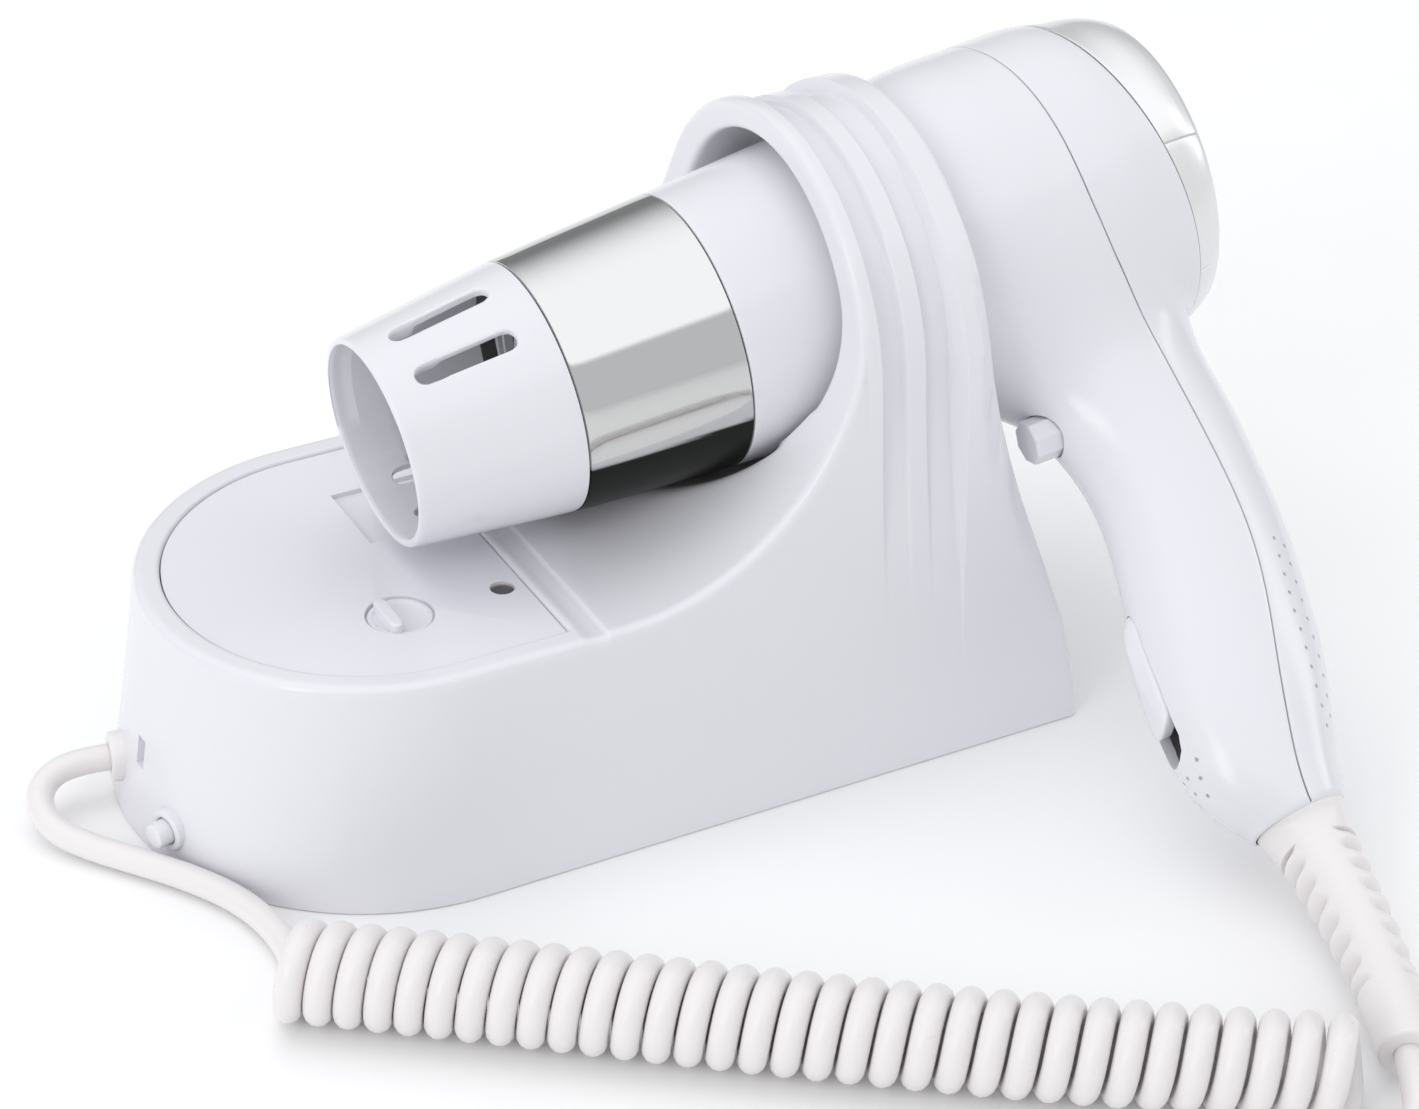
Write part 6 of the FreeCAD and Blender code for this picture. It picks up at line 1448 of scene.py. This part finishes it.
# %% Build the slide switch
THUMB_TOP, THUMB_FOOT, THUMB_HALF, THUMB_PROUD = 94.8, 121.6, 4.65, 0.2
thumb_turn = full_circle(96)
thumb_middle, thumb_half = (THUMB_TOP + THUMB_FOOT) / 2, (THUMB_FOOT - THUMB_TOP) / 2
thumb_edge = long_hole(thumb_turn, thumb_half - THUMB_HALF, THUMB_HALF, 0.0)
EDGE_SHARE, EDGE_FALL_OFF = 0.86, 0.7
thumb_share = np.concatenate([np.linspace(0, EDGE_SHARE, 16), (0.91, 0.95, 0.98, 0.995, 1.0)])
thumb_flat = thumb_edge * thumb_share[:, None, None]
thumb_falls, thumb_across = thumb_middle + thumb_flat[..., 0], thumb_flat[..., 1]
ridge = smooth_through((94.8, 98.5, 103.0, 108.0, 113.0, 118.0, 121.6),
                       (0.2, 1.5, 1.6, 1.35, 0.95, 0.65, 0.6))(thumb_falls)
side_face = smooth_through((94.8, 101.0, 121.6), (1.0, 0.92, 0.12))(thumb_falls)
ridge = ridge * np.clip((1 - np.abs(thumb_across) / THUMB_HALF) / side_face, 0, 1)
thumb_across = thumb_across * narrowed(thumb_falls)
near_edge = np.clip((thumb_share - EDGE_SHARE) / (1 - EDGE_SHARE), 0, 1)
shoulder = EDGE_FALL_OFF * (1 - np.sqrt(1 - near_edge ** 2))[:, None]
thumb_rows = points_of(handle_face(thumb_falls, thumb_across, True) - THUMB_PROUD - ridge
                       + shoulder, thumb_across, -thumb_falls)
thumb_side = thumb_rows[-1:] + np.array((1.0, 0, 0)) * np.array((1.0, 2.2))[:, None, None]
thumb_skin = capped(np.concatenate([thumb_rows, thumb_side]))
make_piece("slide_switch_skin", *grid_part(in_ring(thumb_skin), closed=True), white_shell,
           "slide_switch", "white_shell", ["slide_switch"])

# %% [markdown]
# ## The strain relief
# A soft sleeve keeps the cord from kinking where it leaves the handle. It starts as wide as
# the handle's end and narrows along a curved line. Ribs with narrow grooves between them let
# both its sides bend, and a smooth spine runs along its top and bottom. The surface is a
# circle carried along the line, less a groove depth that depends on place and direction.

# %% Its curved line, its sideways directions and its skin
RELIEF_ROOT = in_ring((140.0, 0.0, -HANDLE_END))
handle_way = in_ring((0.0, 0.0, -1.0)) - in_ring((0.0, 0.0, 0.0))
poles = np.stack([RELIEF_ROOT, RELIEF_ROOT + 14.0 * handle_way,
                  RELIEF_TIP - 22.0 * RELIEF_HEADING, RELIEF_TIP])
RIBS, RIB_START, RIB_END, GROOVE, RIB_PROUD = 7, 0.17, 0.77, 2.6, 0.4
ROOT_RADIUS, TIP_RADIUS, NARROWING, ROOT_FLARE, ROOT_ROUND = 9.75, 5.9, 0.58, 0.5, 0.45
share = np.unique(np.concatenate([np.linspace(0, 1, 41), np.linspace(RIB_START, RIB_END, 200)]))
share = share[:, None]
middle_line = ((1 - share) ** 3 * poles[0] + 3 * (1 - share) ** 2 * share * poles[1]
               + 3 * (1 - share) * share ** 2 * poles[2] + share ** 3 * poles[3])
forward = unit(np.gradient(middle_line, axis=0))
spine = unit(backward - (forward @ backward)[:, None] * forward)
sideways = np.cross(forward, spine)
turned = full_circle(112)
pace = (share - RIB_START) / (RIB_END - RIB_START) * RIBS
within = np.clip(pace, 0, RIBS) % 1.0
rib_shape = 1 - np.clip(np.abs(within - 0.5) * 2, 0, 1) ** 2.0
lean = np.clip((within - 0.1) / 0.9, 0, 1)
on_side = ramp(np.abs(np.sin(turned)), 0.62, 0.34)
inside_ribs = (pace > 0) & (pace < RIBS)
groove = np.where(inside_ribs, GROOVE * (1 - rib_shape) + 0.5 * lean, 0.0) * on_side
sleeve = ROOT_RADIUS - (ROOT_RADIUS - TIP_RADIUS) * share ** NARROWING
sleeve = sleeve + np.where(inside_ribs, RIB_PROUD, 0.0) * on_side
sleeve = sleeve + ROOT_FLARE * np.clip(1 - share / 0.12, 0, 1) ** 2 - groove
sleeve = sleeve - ROOT_ROUND * np.clip(1 - share / 0.012, 0, 1) ** 2
skin = middle_line[:, None] + sleeve[..., None] * (
    np.cos(turned)[:, None] * spine[:, None] + np.sin(turned)[:, None] * sideways[:, None])
tip_rows = [middle_line[-1] + forward[-1] * out + (skin[-1] - middle_line[-1]) * scale
            for out, scale in ((0.25, 0.985), (0.5, 0.94), (0.62, 0.87), (0.66, 0.78),
                               (0.66, 0.5), (0.3, 0.47))]
root_rows = [middle_line[0] - forward[0] * back + (skin[0] - middle_line[0]) * scale
             for back, scale in ((7.0, 0.0), (7.0, 0.8), (0.3, 0.8), (0.02, 0.97))]
relief = make_piece("strain_relief_skin",
                    *grid_part(capped(np.concatenate([root_rows, skin, tip_rows])), closed=True),
                    white_relief, "dryer", "white_relief", ["strain_relief"])

# %% [markdown]
# ## The cover plate
# The plate lies a little below the holder's rim. Its outline, its outlet and its openings are
# already right in the frame's own piece, so a copy of that is taken, its loose triangles are
# merged into whole faces, and a narrow bevel gives every edge the soft line of a moulding.

# %% Copy, lower and soften the plate
PLATE_DROP = 0.6
plate_mesh = frame["nodes"]["cover_plate"].data.copy()
plate_work = bmesh.new()
plate_work.from_mesh(plate_mesh)
bmesh.ops.remove_doubles(plate_work, verts=plate_work.verts, dist=2e-6)
bmesh.ops.dissolve_limit(plate_work, angle_limit=math.radians(1.0), verts=plate_work.verts,
                         edges=plate_work.edges)
bmesh.ops.translate(plate_work, verts=plate_work.verts, vec=(0.0, 0.0, -PLATE_DROP / 1000.0))
plate_work.to_mesh(plate_mesh)
plate_work.free()
shaded(plate_mesh)
plate = placed("cover_plate_skin", plate_mesh)
soft_edge = plate.modifiers.new("soft_edge", "BEVEL")
soft_edge.width, soft_edge.segments = 0.00022, 3
soft_edge.limit_method, soft_edge.angle_limit = "ANGLE", math.radians(50.0)
soft_edge.harden_normals = True
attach(plate, "holder")
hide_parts("cover_plate")
print("cover plate", len(plate_mesh.polygons), "faces")

# %% [markdown]
# ## Small turned pieces on the holder
# The gland's flange, the button at the round end with its collar, the pilot lamp and the
# voltage selector's disc are all turned shapes: a short profile carried once round its own
# axis. The selector's grip bar and a small upright slot in the round end are outlines instead.

# %% A turned shape on any foot
def turned_piece(name, foot, axis, profile, finish, body, slot, replaced=(), sides=72):
    """A profile of (height, radius) turned about an axis from its foot."""
    axis = unit(np.array(axis, float))
    across = unit(np.cross(axis, (0.0, 0.3, 1.0) if abs(axis[2]) < 0.9 else (1.0, 0.0, 0.0)))
    other = np.cross(axis, across)
    round_it = full_circle(sides)[:, None]
    rows = np.stack([np.asarray(foot) + high * axis
                     + wide * (np.cos(round_it) * across + np.sin(round_it) * other)
                     for high, wide in profile])
    return make_piece(name, *grid_part(rows, closed=True), finish, body, slot, replaced)


# %% Gland, button and collar on the round end
def on_end_wall(turn, high):
    """A place on the round end's wall and the outward direction there."""
    out = np.array((-np.cos(np.radians(turn)), np.sin(np.radians(turn)), 0.0))
    return np.array((END_MIDDLE, 0.0, high)) + out * wall_half(high), out


gland_place, gland_out = on_end_wall(12.0, 9.5)
button_place, button_out = on_end_wall(-16.0, 7.6)
gland = turned_piece("cord_gland_skin", gland_place, gland_out,
                     ((-4, 0), (-4, 4.1), (-0.9, 4.1), (-0.9, 5.4), (1.5, 5.4), (2.0, 5.25),
                      (2.3, 4.9), (2.4, 4.4), (2.4, 3.3), (2.15, 3.0), (1.0, 2.9), (1.0, 0)),
                     white_relief, "holder", "white_relief", ["cord_gland"])
turned_piece("button_collar", button_place, button_out,
             ((-2.5, 3.0), (-2.5, 4.6), (0.9, 4.6), (1.2, 4.45), (1.4, 4.1), (1.4, 3.5),
              (1.25, 3.15), (0.9, 3.0), (-2.5, 3.0)), white_shell, "holder", "white_shell")
turned_piece("main_button_skin", button_place, button_out,
             ((-9, 0), (-9, 2.7), (3.9, 2.7), (4.3, 2.6), (4.5, 2.35), (4.6, 1.9), (4.62, 0)),
             white_shell, "main_button", "white_shell", ["main_button"])

# %% A slot in the round end, and the pilot lamp
slot_place, slot_out = on_end_wall(-1.4, 18.2)
slot_side = np.array((-slot_out[1], slot_out[0], 0.0))
LATCH_HALF, LATCH_RISE, LATCH_DEEP = 1.7, 3.3, 1.9
corners = [(aside * LATCH_HALF, up * LATCH_RISE)
           for aside, up in ((-1, -1), (1, -1), (1, 1), (-1, 1))]
slot_rows = np.stack([[slot_place + slot_out * out + slot_side * aside + (0, 0, up)
                       for aside, up in corners] for out in (-LATCH_DEEP, 3.0)])
cut_out(holder_skin, *grid_part(capped(slot_rows), closed=True))
turned_piece("pilot_lamp_skin", (76.2, -22.2, 38.0 - PLATE_DROP), (0, 0, 1),
             ((0, 0), (0, 2.5), (10.6, 2.5), (11.1, 2.3), (11.45, 1.7), (11.6, 0.9), (11.63, 0)),
             lamp_lens, "holder", "lamp_lens", ["pilot_lamp"])

# %% The selector: a sunk disc with a grip bar to one side of its middle
SELECTOR_AT = np.array((53.3, -21.8, -PLATE_DROP))
turned_piece("selector_disc", SELECTOR_AT, (0, 0, 1),
             ((46.5, 0), (46.5, 2.4), (48.85, 2.4), (48.85, 6.75), (49.35, 6.75), (49.5, 6.6),
              (49.5, 5.9), (49.2, 5.6), (49.0, 5.3), (49.0, 0)),
             white_cover, "selector", "white_shell", ["selector_knob"])
BAR_MIDDLE, BAR_HALF, BAR_RADIUS, BAR_SIDES = np.array((-2.6, 0.0)), 4.3, 1.35, 64
bar_outline = long_hole(full_circle(BAR_SIDES), BAR_HALF, BAR_RADIUS, 0.0)[:, ::-1] + BAR_MIDDLE
bar_profile = ((48.9, 1.0), (51.2, 0.97), (51.4, 0.93), (51.5, 0.86), (51.52, 0.7), (51.55, 0.0))
bar_rows = np.stack([
    np.concatenate([BAR_MIDDLE + (bar_outline - BAR_MIDDLE) * scale + SELECTOR_AT[:2],
                    np.full((BAR_SIDES, 1), high - PLATE_DROP)], 1)
    for high, scale in bar_profile])
make_piece("selector_bar", *grid_part(capped(bar_rows), closed=True), white_cover, "selector",
           "white_shell")
